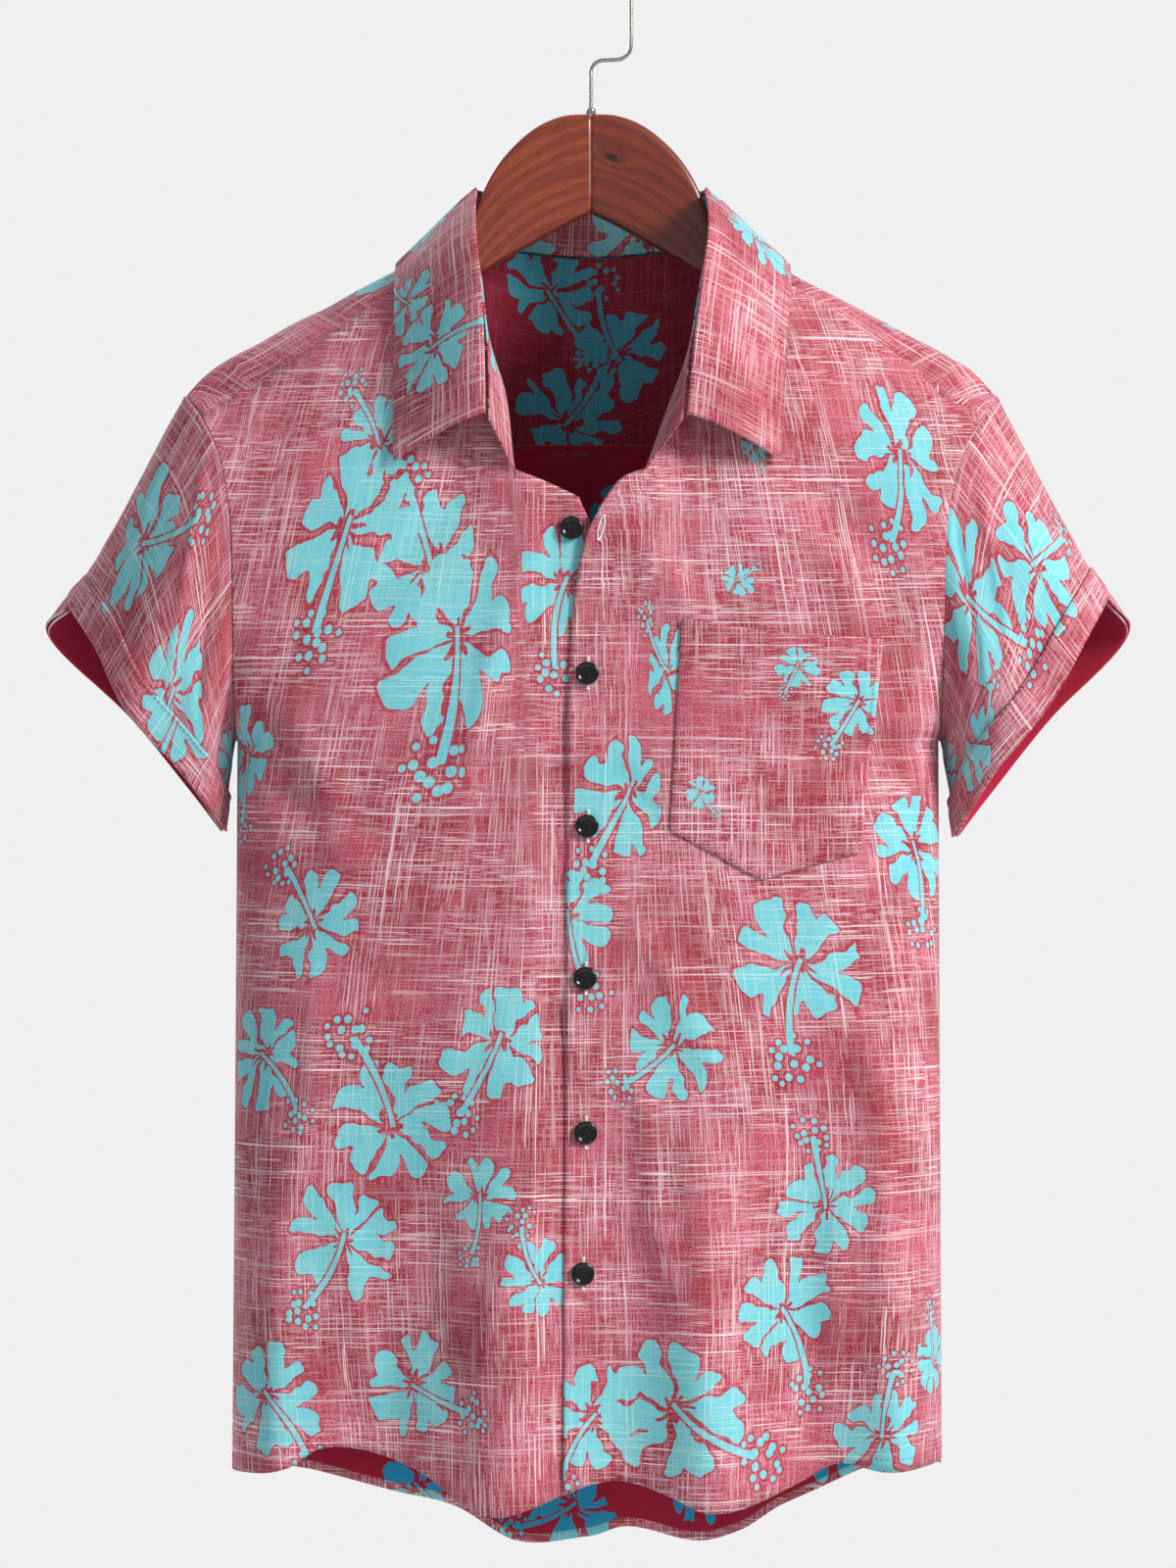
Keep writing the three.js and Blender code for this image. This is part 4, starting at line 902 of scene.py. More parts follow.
def yoke_panel():
    def corner(hand, w):
        return armhole_corner(hand, w * w)[0]

    front_root = {h: -root(read(YOKE_FRONT, 'x', 'drop', h * 220)) for h in (-1, 1)}
    back_root = {h: root(ridge(edge_at(BACK_SEAM, h)) - BACK_SEAM) for h in (-1, 1)}
    start = {h: yoke_station(h) for h in (-1, 1)}

    def station_at(c):
        if c < 0.3:
            return mix(start[-1], 4, (c - 0.27) / 0.03)
        if c > 0.7:
            return mix(10, start[1], (c - 0.7) / 0.03)
        return mix(4, 10, (c - 0.3) / 0.4)

    def top(c):
        if c <= 0.27 or c >= 0.73:
            if c <= 0.27:
                x = mix(corner(-1, front_root[-1]), neck_seam(start[-1])[0], c / 0.27)
            else:
                x = mix(neck_seam(start[1])[0], corner(1, front_root[1]), (c - 0.73) / 0.27)
            return x, -root(read(YOKE_FRONT, 'x', 'drop', x))
        at = station_at(c)
        x, z = neck_seam(at)
        return x, (-1 if at < 4 or at > 10 else 1) * root(max(0.0, ridge(x) - z))

    edges = edge_at(BACK_SEAM, -1), edge_at(BACK_SEAM, 1)

    def bottom(c):
        x = mix(edges[0], edges[1], c)
        return x, root(ridge(x) - BACK_SEAM)

    strays = [stray(lambda t, h=h: corner(h, mix(front_root[h], back_root[h], t))) for h in (-1, 1)]
    half = [0, 0.02, 0.05, 0.09, 0.135, 0.18, 0.225, 0.27, 0.3, 0.333, 0.367, 0.4, 0.45, 0.5]
    columns = refine(half + [1 - c for c in half[-2::-1]], 5)
    rows = refine(even(11), 5)
    grid = np.zeros((len(rows), len(columns), 3))
    tops = [top(c) for c in columns]
    bottoms = [bottom(c) for c in columns]
    for j, t in enumerate(rows):
        a = strays[0](t)
        b = strays[1](t)
        for i, c in enumerate(columns):
            x = mix(tops[i][0], bottoms[i][0], t) + a * (1 - c) ** 3 + b * c ** 3
            w = mix(tops[i][1], bottoms[i][1], t)
            if i == 0:
                x = corner(-1, w)
            if i == len(columns) - 1:
                x = corner(1, w)
            side = step(0, 0.04, c) * (1 - step(0.96, 1, c)) * step(0, 0.06, t) * (1 - step(0.94, 1, t))
            lift = fine_ripple(x, w * 12, 5) * side * 0.9
            p = body(x, ridge(x) - w * w, -1 if w < 0 else 1, -lift if w > 1 or w < -1 else 0)
            if abs(w) <= 1:
                p[2] += lift
            grid[j, i] = p
    return grid


MOTIFS_YOKE = [
    (-150, 20, 22, -40, 60), (-190, 80, 16, 30, 40), (-105, 100, 20, 20, 60), (-135, -12, 15, 30, 20),
    (120, 15, 14, 50, -30), (165, 70, 20, 30, 60), (205, 20, 15, -20, 50), (95, 105, 19, -30, 40),
    (-24, -8, 15, 40, 60), (16, 28, 16, -40, -60), (-14, 66, 15, 40, -50),
]
GRID_YOKE = yoke_panel()
yoke_across = lengths(GRID_YOKE, 1)
middle_column = GRID_YOKE.shape[1] // 2
UV_YOKE = np.stack((yoke_across - yoke_across[:, [middle_column]], lengths(GRID_YOKE, 0) - 30), axis=-1)


def upward(grid):
    out = grid.copy()
    out[..., 0] = 0
    out[..., 2] = 30
    return out


YOKE, NORMAL_YOKE = cloth_piece(
    'cloth_yoke', GRID_YOKE, UV_YOKE, laid_motifs(UV_YOKE, UV_YOKE, MOTIFS_YOKE),
    upward, inner_face=CLOTH_LINING_SHADED)
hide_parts('yoke')


# Sleeves and their turned-up bands
SLEEVE_GAP = 1.0
SLEEVE_ROUND = 330


def sleeve_point(hand, k, r):
    cuff = CUFF_LEFT if hand > 0 else CUFF_RIGHT
    turn = k * math.pi * 2
    z = PIT_MIDDLE + PIT_HALF * math.cos(turn)
    x = edge_at(z, hand)
    y = -ARMHOLE_DEPTH * math.sin(turn) + ridge_forward(x)
    low = (1 - math.cos(turn)) / 2
    start = np.array([x + hand * (SLEEVE_GAP + 0.6 * low), y, z - SLEEVE_GAP * low])
    at = (k % 1.0) * 360
    end = np.array([
        read(cuff, 'turn', 'x', at), read(cuff, 'turn', 'y', at) + ridge_forward(SHOULDER_TIP),
        read(cuff, 'turn', 'z', at)])
    p = start + (end - start) * r
    front = max(0.0, math.sin(turn))
    rear = max(0.0, -math.sin(turn))
    swell = math.sin(math.pi * min(1.0, r))
    p[1] += -5 * front * swell + 4 * rear * swell
    p[1] += 4 * front * swell * math.sin(5 * turn + 1.2 * hand)
    p[1] += 3 * rear * swell * math.sin(4 * turn - 0.7)
    return p


def sleeve_out(hand):
    def outward(grid):
        return grid - np.array([hand * 236, -10, -400])
    return outward


# Creases of a sleeve: round from and to, along from and to, half width, height
CREASES_SLEEVE = [
    (0.12, 0.30, 0.05, 0.75, 5, 1.7), (0.2, 0.34, 0.0, 0.5, 4, -1.4), (0.3, 0.42, 0.1, 0.8, 6, 1.5),
    (0.4, 0.45, 0.05, 0.6, 5, -1.5), (0.62, 0.56, 0.05, 0.7, 6, 1.6), (0.75, 0.64, 0.0, 0.6, 5, -1.4),
    (0.86, 0.74, 0.1, 0.8, 6, 1.5), (0.05, 0.1, 0.2, 0.9, 6, 1.0),
]


def sleeve_crease(k, r):
    swell = 0.0
    for k0, k1, r0, r1, wide, high in CREASES_SLEEVE:
        t = (r - r0) / (r1 - r0)
        if -0.2 < t < 1.2:
            off = (k - mix(k0, k1, t)) * SLEEVE_ROUND
            swell += high * step(-0.2, 0.3, t) * (1 - step(0.6, 1.2, t)) * math.exp(-(off / wide) ** 2)
    return swell


def sleeve_grid(hand):
    ring = 144
    rows = even(56)
    grid = np.array([[sleeve_point(hand, i / ring, r) for i in range(ring)] for r in rows])
    normal = grid_normals(grid, True, sleeve_out(hand))
    for j, r in enumerate(rows):
        for i in range(ring):
            k = i / ring
            around, up = math.cos(k * 6.283) * 52, math.sin(k * 6.283) * 52
            lift = sleeve_crease(k, r) + fine_ripple(around, r * 90 + up, hand * 9)
            lift *= step(0.0, 0.08, r) * (1 - step(0.7, 0.8, r))
            grid[j, i] += normal[j, i] * lift
    # The first ring runs on inside the armhole
    inside = grid[:1].copy()
    inside[..., 0] -= hand * 5
    forward = ridge_forward(SHOULDER_TIP)
    inside[..., 1] = forward + (inside[..., 1] - forward) * (1 - 2.4 / ARMHOLE_DEPTH)
    inside[..., 2] = PIT_MIDDLE + (inside[..., 2] - PIT_MIDDLE) * (1 - 2.4 / PIT_HALF)
    return np.concatenate((inside, grid))


def ring_uv(grid):
    """Cloth lengths round a tube from its top, the seam lying underneath."""
    closed = np.concatenate((grid, grid[:, :1]), axis=1)
    along = lengths(closed, 0)
    round_ = lengths(closed, 1)
    total = round_[:, -1:]
    mean = total.mean()
    u = round_ / total * mean
    return np.stack((u, -np.broadcast_to(along.mean(axis=1, keepdims=True), u.shape)), axis=-1)


# Places of the flowers on the sleeves: round from the top over the front, and down, in millimetres
MOTIFS_SLEEVE = {
    -1: [(40, -58, 16, 30, 20), (122, -72, 18, 10, -60), (215, -30, 16, -10, -70), (285, -62, 16, 30, 50),
         (298, -80, 15, 40, 20)],
    1: [(112, -26, 19, -10, -70), (56, -62, 15, -60, -20), (160, -76, 13, -40, 30), (220, -35, 16, 20, -70),
        (290, -40, 16, 20, -60)],
}
SLEEVES = {}
for hand in (-1, 1):
    side_name = 'left' if hand > 0 else 'right'
    grid = sleeve_grid(hand)
    uv = ring_uv(grid)
    motifs = laid_motifs(uv, uv, MOTIFS_SLEEVE[hand])
    obj, normal = cloth_piece('cloth_sleeve_' + side_name, grid, uv, motifs, sleeve_out(hand), around=True)
    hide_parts('sleeve_' + side_name)
    SLEEVES[hand] = obj, grid, uv, normal
    # The band lies on the sleeve's own points, moved out
    ring = grid.shape[1]
    band = np.zeros((9, ring, 3))
    band_uv = np.zeros((9, ring + 1, 2))
    for i in range(ring):
        run = np.concatenate(([0], np.cumsum(np.linalg.norm(np.diff(grid[:, i], axis=0), axis=1))))
        for j in range(9):
            at = mix(run[-1] - CUFF_WIDTH, run[-1] - 0.3, j / 8)
            r = np.interp(at, run, np.arange(len(run)))
            a = int(min(len(run) - 2, math.floor(r)))
            p = grid[a, i] + (grid[a + 1, i] - grid[a, i]) * (r - a)
            n = normal[a, i] + (normal[a + 1, i] - normal[a, i]) * (r - a)
            roll = 0.3 * (j == 8) - 0.5 * math.exp(-(j - 1.5) ** 2)
            band[j, i] = p + n * (LAY + 0.1 + CLOTH + roll + 0.5)
    for j in range(9):
        band_uv[j] = uv[-1]
        band_uv[j, :, 1] = uv[-1, :, 1] + mix(CUFF_WIDTH, 0, j / 8)
    cuff, _ = cloth_piece('cloth_cuff_' + side_name, band, band_uv, motifs, sleeve_out(hand), around=True)
    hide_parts('cuff_' + side_name)
    SLEEVES[hand] += (cuff, band)


# Collar: stand and leaf from the seam, the fold and the leaf's edge at each station
def collar_station(at):
    v = {key: read(NECK, 'at', key, at) for key in ('x', 'z', 'side', 'fx', 'fy', 'fz', 'ox', 'oz', 'lift')}
    side = -1 if v['side'] < 0 else 1
    x, z = v['x'], v['z']
    seam = body(x, min(z, ridge(x)), side)
    seam[2] = z
    if side < 0:
        seam[1] = front_point(x, z, x > 0)[1]
    fold = seam + np.array([v['fx'], v['fy'], v['fz']])
    outer_side = 1 if 4 < at < 10 else -1
    outer = body(v['ox'], min(v['oz'], ridge(v['ox'])), outer_side)
    outer[1] += outer_side * v['lift']
    outer[2] = v['oz']
    return seam, fold, outer


def away(grid):
    out = np.array(grid, float)
    out[..., 1] += 10
    out[..., 2] = 0
    return out / np.maximum(np.linalg.norm(out, axis=-1, keepdims=True), 1e-9)


def away_and_up(grid):
    out = away(grid)
    out[..., 2] += 1
    return out


STATIONS = [mix(0, yoke_station(-1), k) for k in even(8)]
STATIONS += [4, 4.5, 5, 5.5, 6.25, 7, 7.75, 8.5, 9, 9.5, 10]
STATIONS += [mix(14, yoke_station(1), k) for k in even(8)][::-1]
STATIONS = refine(STATIONS, 5)
LEAF_ROWS = refine([0, 0.04, 0.12, 0.28, 0.5, 0.75, 1], 4)
stand_grid = []
leaf_grid = []
for at in STATIONS:
    seam, fold, outer = collar_station(at)
    up = (fold - seam) / np.linalg.norm(fold - seam)
    base = seam + up * (SEAM + 0.9)
    stand_grid.append([base + (fold - base) * k * 0.97 for k in even(10)])
    line = []
    for k in LEAF_ROWS:
        p = fold + (outer - fold) * k
        p = p + up * (4.2 * math.sqrt(k) * (1 - k) + 2.6 * (1 - k)) + away(p) * 6 * math.sqrt(k) * (1 - k)
        edge = 1 - abs(2 * STATIONS.index(at) / (len(STATIONS) - 1) - 1)
        fade = step(0, 0.1, k) * (1 - step(0.9, 1, k)) * step(0, 0.03, edge)
        p = p + away(p) * fine_ripple(at * 30, k * 60, 21) * 0.7 * fade
        line.append(p)
    leaf_grid.append(line)
GRID_STAND = np.array(stand_grid)
GRID_LEAF = np.array(leaf_grid)


def collar_uv(grid):
    along = lengths(grid, 0).mean(axis=1, keepdims=True)
    along = along - along[len(along) // 2]
    down = lengths(grid, 1)
    return np.stack((np.broadcast_to(along, down.shape), -down), axis=-1)


UV_STAND = collar_uv(GRID_STAND)
UV_LEAF = collar_uv(GRID_LEAF)
MOTIFS_STAND = [(-190, -18, 14, 60, -10), (-120, -15, 17, 50, 10), (-45, -18, 15, -50, 20), (30, -14, 17, 60, 0),
                (105, -16, 14, -60, 10), (175, -18, 16, 60, -20)]
MOTIFS_LEAF = [(-212, -32, 14, 15, 65), (-172, -52, 10, 40, -30), (-100, -38, 15, 30, 40), (-50, -20, 18, -50, -20),
               (15, -34, 17, 50, 25), (75, -18, 15, -40, -40), (125, -36, 13, 30, -50)]
STAND, _ = cloth_piece(
    'cloth_collar_stand', GRID_STAND, UV_STAND, laid_motifs(UV_STAND, UV_STAND, MOTIFS_STAND),
    away, inner_face=CLOTH_FACE)
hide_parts('collar_stand')
LEAF, NORMAL_LEAF = cloth_piece(
    'cloth_collar_leaf', GRID_LEAF, UV_LEAF, laid_motifs(UV_LEAF, UV_LEAF, MOTIFS_LEAF),
    away_and_up, inner_face=CLOTH_FACE)
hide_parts('collar_leaf')


# Pocket, laid on the front's own points and moved out
class Face:
    """Nearest place on a grid of outer points, by width and height."""

    def __init__(self, grid, normal):
        self.grid = grid
        self.normal = normal
        self.flat = grid[..., [0, 2]].reshape(-1, 2)

    def at(self, x, z):
        """Point and outward normal of the face at a place."""
        nj, ni = self.grid.shape[:2]
        k = int(((self.flat - (x, z)) ** 2).sum(axis=1).argmin())
        j, i = divmod(k, ni)
        j = min(max(j, 1), nj - 2)
        i = min(max(i, 1), ni - 2)
        p = self.grid[j, i]
        du = self.grid[j, i + 1] - self.grid[j, i - 1]
        dv = self.grid[j + 1, i] - self.grid[j - 1, i]
        m = np.array([[du[0], dv[0]], [du[2], dv[2]]])
        s, t = np.linalg.solve(m, np.array([x - p[0], z - p[2]]))
        n = self.normal[j, i]
        return np.array([x, p[1] + du[1] * s + dv[1] * t, z]), n


FACE_LEFT = Face(GRID_LEFT, NORMAL_LEFT)
FACE_RIGHT = Face(GRID_RIGHT, NORMAL_RIGHT)


def pocket_place(u, v):
    def across(key):
        a = POCKET[key]
        return mix(a[0], a[1], u * 2) if u < 0.5 else mix(a[1], a[2], u * 2 - 1)
    return mix(across('topx'), across('lowx'), v), mix(across('topz'), across('lowz'), v)


# Thin patch: wall, and the sizes that its seams and hem are drawn from
POCKET_WALL = 0.6
POCKET_WIDE = 112
POCKET_HIGH = 116
POCKET_HEM = 21


def pocket_panel():
    n = 60
    grid = np.zeros((n + 1, n + 1, 3))
    for j, v in enumerate(even(n)):
        for i, u in enumerate(even(n)):
            x, z = pocket_place(u, v)
            gape = 1.6 * (1 - v) ** 3 * math.sin(math.pi * u)
            y = min(FACE_LEFT.at(x + dx, z + dz)[0][1] for dx in (-3, 0, 3) for dz in (-3, 0, 3))
            edge = min(u * POCKET_WIDE, (1 - u) * 108, (1 - v) * POCKET_HIGH + 3)
            inside = step(0, 8, edge)
            lift = 0.5 * inside * (1 + fine_ripple(x, z, 31)) - 0.3 * math.exp(-((edge - 2.5) / 1.3) ** 2)
            down = v * POCKET_HIGH
            lift += 0.35 * (1 - step(18, POCKET_HEM, down)) - 0.3 * math.exp(-((down - POCKET_HEM) / 1.3) ** 2)
            grid[j, i] = (x, y - POCKET_WALL - 0.2 - gape - max(0.0, lift) * 0.8, z)
    return grid


GRID_POCKET = pocket_panel()
NORMAL_POCKET = grid_normals(GRID_POCKET, False, radial)
UV_POCKET = GRID_POCKET[..., [0, 2]].copy()
MOTIFS_POCKET = [(146.2, -420.3, 10.7, -30, -50), (113.0, -400.0, 6.0, -30, -60), (60, -470, 5.0, 20, -50)]
POCKET_PIECE, _ = cloth_piece(
    'cloth_pocket', GRID_POCKET, UV_POCKET, laid_motifs(UV_POCKET, UV_POCKET, MOTIFS_POCKET),
    radial, wall=POCKET_WALL)
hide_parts('pocket')


# Plain materials
def plain(name, colour, rough, metal=0.0, spec=0.5):
    material, n = new_material(name)
    n.surface(colour, {'Roughness': rough, 'Metallic': metal, 'Specular IOR Level': spec})
    return material


THREAD_RED = plain('sewing_thread', linear(206, 96, 120), 0.75)
THREAD_WHITE = plain('buttonhole_thread', linear(246, 238, 236), 0.7)
THREAD_BLACK = plain('button_thread', linear(14, 13, 15), 0.7)
BUTTON_BLACK = plain('button_gloss', linear(9, 9, 11), 0.16)
NICKEL = plain('hook_nickel', linear(196, 186, 172), 0.2, metal=1.0)


def wood_material():
    material, n = new_material('hanger_lacquered_wood')
    place = n.add('ShaderNodeUVMap', uv_map='grain')
    u, v, _ = n.split(place.outputs[0])
    hand = n.add('ShaderNodeAttribute', attribute_name='hand').outputs['Fac']
    # Knot on the wearer's left arm, near the centre joint
    kx = n.minus(u, 12.0)
    kz = n.minus(v, 6.0)
    gap = n.math('SQRT', n.plus(n.mul(kx, n.mul(kx, 0.35)), n.mul(kz, kz)))
    pull = n.mul(n.math('EXPONENT', n.mul(gap, -0.22)), 9.0)
    pull = n.mul(pull, hand)
    slow = n.noise(n.vec(n.mul(u, 0.012), n.mul(v, 0.06), hand), 1.0, 2.0, 0.5, '3D')
    grain = n.plus(n.mul(v, 0.42), n.mul(slow, 7.0))
    grain = n.plus(grain, pull)
    ring = n.math('SINE', n.mul(grain, 1.6))
    ring = n.map(ring, -0.9, 1.0)
    pores = n.noise(n.vec(n.mul(u, 0.09), n.mul(v, 1.6), hand), 1.0, 3.0, 0.65, '3D')
    dark = n.blend(hand, linear(136, 50, 24), linear(112, 38, 18))
    light = n.blend(hand, linear(176, 80, 42), linear(150, 62, 34))
    colour = n.blend(n.mul(ring, 0.5), dark, light)
    colour = n.blend(n.map(pores, 0.35, 0.6, 0.5, 0.0), colour, linear(66, 22, 14))
    core = n.mul(n.map(gap, 3.4, 1.2), hand)
    colour = n.blend(core, colour, linear(44, 14, 10))
    n.surface(colour, {'Roughness': 0.36, 'Coat Weight': 0.5, 'Coat Roughness': 0.2}, pores, 0.2, 0.0002)
    return material


WOOD = wood_material()

# Hanger arms, rounder than their solids
ARM = dict(
    x=[0.15, 16, 32, 48, 58, 66, 73, 79, 90, 130, 175, 204, 210],
    top=[-89, -90.3, -97.5, -112, -127, -146, -161, -169, -176, -195, -219, -238, -244],
    bottom=[-144.6, -152.5, -161.5, -170.5, -176.5, -181.5, -187, -192, -201, -222, -244, -258, -259],
    thick=[14, 14, 14, 14, 14, 14, 14, 14, 14, 13, 12, 9, 7],
    y=[0, -0.2, -0.8, -1.7, -2.3, -2.9, -3.3, -3.6, -4.2, -6.3, -8.4, -8.6, -9],
)


def hanger_arm(hand):
    ring = 44
    xs = [0.02 + 47.98 * k for k in even(32)] + [48 + 42 * k for k in even(36)[1:]] + [90 + 120 * k for k in even(40)[1:]]
    rings = []
    grain = []
    for x in xs:
        v = {key: read(ARM, 'x', key, x) for key in ('top', 'bottom', 'thick', 'y')}
        ease = 1 - 0.35 * max(0.0, (x - 200) / 10)
        start_ease = 1 - 0.02 * (1 - step(0.1, 1.2, x))
        line = []
        for k in range(ring):
            turn = k / ring * math.pi * 2
            c, s = math.cos(turn), math.sin(turn)
            zz = (v['top'] + v['bottom']) / 2 + (v['top'] - v['bottom']) / 2 * ease * start_ease * math.copysign(abs(c) ** 0.42, c)
            yy = v['y'] + v['thick'] / 2 * ease * start_ease * math.copysign(abs(s) ** 0.42, s)
            line.append((hand * x, yy, zz))
        rings.append(line)
        middle = read(ARM, 'x', 'bottom', x) * 0.5 + read(ARM, 'x', 'top', x) * 0.5
        grain.append([(x, p[2] - middle + (0 if abs(p[1]) > 6 else 0)) for p in line])
    n = len(rings)
    verts = [p for line in rings for p in line]
    faces = []
    for j in range(n - 1):
        for i in range(ring):
            a, b = j * ring + i, j * ring + (i + 1) % ring
            faces.append((a, b, b + ring, a + ring) if hand < 0 else (a, a + ring, b + ring, b))
    faces.append(tuple(range(ring))[::-1] if hand < 0 else tuple(range(ring)))
    end = tuple((n - 1) * ring + i for i in range(ring))
    faces.append(end if hand < 0 else end[::-1])
    name = 'wood_arm_left' if hand > 0 else 'wood_arm_right'
    obj = add_mesh(name, verts, faces, [WOOD], 'hanger_wood')
    flat_grain = [g for line in grain for g in line]
    layer = obj.data.uv_layers.new(name='grain')
    for loop in obj.data.loops:
        layer.data[loop.index].uv = flat_grain[loop.vertex_index]
    side = obj.data.attributes.new('hand', 'FLOAT', 'FACE')
    side.data.foreach_set('value', [1.0 if hand > 0 else 0.0] * len(obj.data.polygons))
    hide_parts('hanger_left' if hand > 0 else 'hanger_right')
    return obj


hanger_arm(1)
hanger_arm(-1)


# Tubes and lathes
def tube(path, radius, sides=12, caps=True):
    """Verts and faces of a round tube along points; radius is one value or one for each point."""
    path = np.asarray(path, float)
    n = len(path)
    radii = np.broadcast_to(np.asarray(radius, float), (n,))
    tangent = np.gradient(path, axis=0)
    tangent /= np.linalg.norm(tangent, axis=1, keepdims=True)
    ref = np.array([0.0, 1.0, 0.0]) if abs(tangent[0][1]) < 0.8 else np.array([1.0, 0.0, 0.0])
    verts = []
    faces = []
    for k in range(n):
        a = ref - tangent[k] * (ref @ tangent[k])
        a /= np.linalg.norm(a)
        b = np.cross(tangent[k], a)
        ref = a
        for i in range(sides):
            t = i / sides * 2 * math.pi
            verts.append(path[k] + (a * math.cos(t) + b * math.sin(t)) * radii[k])
    for k in range(n - 1):
        for i in range(sides):
            p, q = k * sides + i, k * sides + (i + 1) % sides
            faces.append((p, q, q + sides, p + sides))
    if caps:
        faces.append(tuple(range(sides))[::-1])
        faces.append(tuple((n - 1) * sides + i for i in range(sides)))
    return verts, faces


def lathe(profile, centre, axis, sides=40):
    """Verts and faces of a turned piece: profile of radius and height along the axis, closed at its ends."""
    axis = np.asarray(axis, float)
    axis /= np.linalg.norm(axis)
    ref = np.array([0.0, 0.0, 1.0]) if abs(axis[2]) < 0.8 else np.array([0.0, 1.0, 0.0])
    a = np.cross(ref, axis)
    a /= np.linalg.norm(a)
    b = np.cross(axis, a)
    verts = []
    faces = []
    for r, h in profile:
        for i in range(sides):
            t = i / sides * 2 * math.pi
            verts.append(np.asarray(centre) + axis * h + (a * math.cos(t) + b * math.sin(t)) * r)
    for k in range(len(profile) - 1):
        for i in range(sides):
            p, q = k * sides + i, k * sides + (i + 1) % sides
            faces.append((p, q, q + sides, p + sides))
    faces.append(tuple(range(sides))[::-1])
    faces.append(tuple((len(profile) - 1) * sides + i for i in range(sides)))
    return verts, faces


def joined(parts):
    verts = []
    faces = []
    for v, f in parts:
        base = len(verts)
        verts += [tuple(p) for p in v]
        faces += [tuple(base + i for i in face) for face in f]
    return verts, faces


# Hook: wire up from the crown, out to the side and round over the rod
WIRE = 1.15
BEND = 22.5
TOP = -(BEND - WIRE)


def smooth_run(points, parts):
    pts = [np.array(p, float) for p in points]
    pts = [2 * pts[0] - pts[1], *pts, 2 * pts[-1] - pts[-2]]
    out = []
    for a, b, c, d in zip(pts[:-3], pts[1:-2], pts[2:-1], pts[3:]):
        for k in range(parts):
            t = k / parts
            out.append(0.5 * (2 * b + (c - a) * t + (2 * a - 5 * b + 4 * c - d) * t * t + (3 * b - a - 3 * c + d) * t ** 3))
    return out + [pts[-2]]


wire = smooth_run([(0, 0, -88.4), (0, 0, -78), (0, 0, -69), (0.4, 0, -62.5), (5, 0, -58.9), (11, 0, -58.4),
                   (17.5, 0, -57.6), (21.6, 0, -53.5), (BEND, 0, -47), (BEND, 0, -34), (BEND, 0, TOP - 2)], 8)
wire = wire[:-1] + [np.array([BEND * math.cos(math.pi * k), 0, TOP + BEND * math.sin(math.pi * k)]) for k in even(48)]
wire += [np.array([-BEND, 0, TOP - 2.5])]
hook_obj = add_mesh('wire_hook', *tube(wire, WIRE, 20), [NICKEL], 'hook_wire')
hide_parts('hook')
ferrule_profile = [(WIRE + 0.35, -88.6), (2.5, -88.6), (2.7, -88.4), (2.7, -86.4), (2.55, -85.9), (2.2, -85.45), (WIRE + 0.35, -85.4)]
ferrule_obj = add_mesh('wire_ferrule', *lathe(ferrule_profile, (0, 0, 0), (0, 0, 1), 32), [NICKEL], 'hook_wire')
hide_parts('ferrule')

# Buttons: dished face with a raised rim, four holes, thread crossed between them
BUTTONS = dict(
    name=['button_1', 'button_2', 'button_3', 'button_4', 'button_5', 'button_6'],
    x=[-10.7, -2.1, -2.1, -3.2, -3.2, -4.8],
    z=[-324.6, -404.1, -487.8, -571, -655.2, -732],
)


def button_mesh(name, p, out, spin):
    profile = [(0.01, 0), (5.0, 0), (5.9, 0.45), (6.35, 1.0), (6.4, 1.5), (6.25, 2.0), (5.85, 2.42), (5.4, 2.55),
               (4.95, 2.45), (4.55, 2.15), (4.2, 1.8), (3.7, 1.62), (2.6, 1.55), (0.01, 1.5)]
    button = add_mesh(name, *lathe(profile, p, out, 48), [BUTTON_BLACK], 'button')
    ref = np.cross((0, 0, 1.0), out)
    ref /= np.linalg.norm(ref)
    up = np.cross(out, ref)
    a = ref * math.cos(spin) + up * math.sin(spin)
    b = -ref * math.sin(spin) + up * math.cos(spin)
    parts = []
    for su, sv in ((1, 1), (1, -1), (-1, 1), (-1, -1)):
        centre = p + (a * su + b * sv) * 1.25 + out * 1.56
        parts.append(lathe([(0.01, 0), (0.62, 0), (0.72, 0.05), (0.62, 0.1), (0.01, 0.06)], centre, out, 12))
    holes = add_mesh(name + '_holes', *joined(parts), [THREAD_BLACK], 'button')
    strands = []
    for sv in (-1, 1):
        for shift in (-0.22, 0.22):
            start = p + a * (-1.35) + b * (sv * 1.25 + shift) + out * 1.6
            end = p + a * 1.35 + b * (sv * 1.25 + shift) + out * 1.6
            mid = (start + end) / 2 + out * 0.5
            strands.append(tube(smooth_run([start, mid, end], 6), 0.2, 6))
    thread = add_mesh(name + '_thread', *joined(strands), [THREAD_BLACK], 'button')
    return button, holes, thread


for name, x, z in zip(*BUTTONS.values()):
    face = FACE_RIGHT if name == 'button_1' else FACE_LEFT
    p, n = face.at(x, z)
    spin = {'button_1': 1.5, 'button_2': 0.4, 'button_3': 0.1, 'button_4': 0.8, 'button_5': 0.5, 'button_6': 0.3}[name]
    pieces = button_mesh('gloss_' + name, p + n * 0.7, n, spin)
    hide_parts(name)


# Sewing thread: short stitches lying in a row on the cloth
def resample(points, pitch):
    pts = np.asarray(points, float)
    run = np.concatenate(([0], np.cumsum(np.linalg.norm(np.diff(pts[:, :3], axis=0), axis=1))))
    at = np.arange(pitch / 2, run[-1], pitch)
    return np.stack([np.interp(at, run, pts[:, k]) for k in range(pts.shape[1])], axis=1), run[-1]


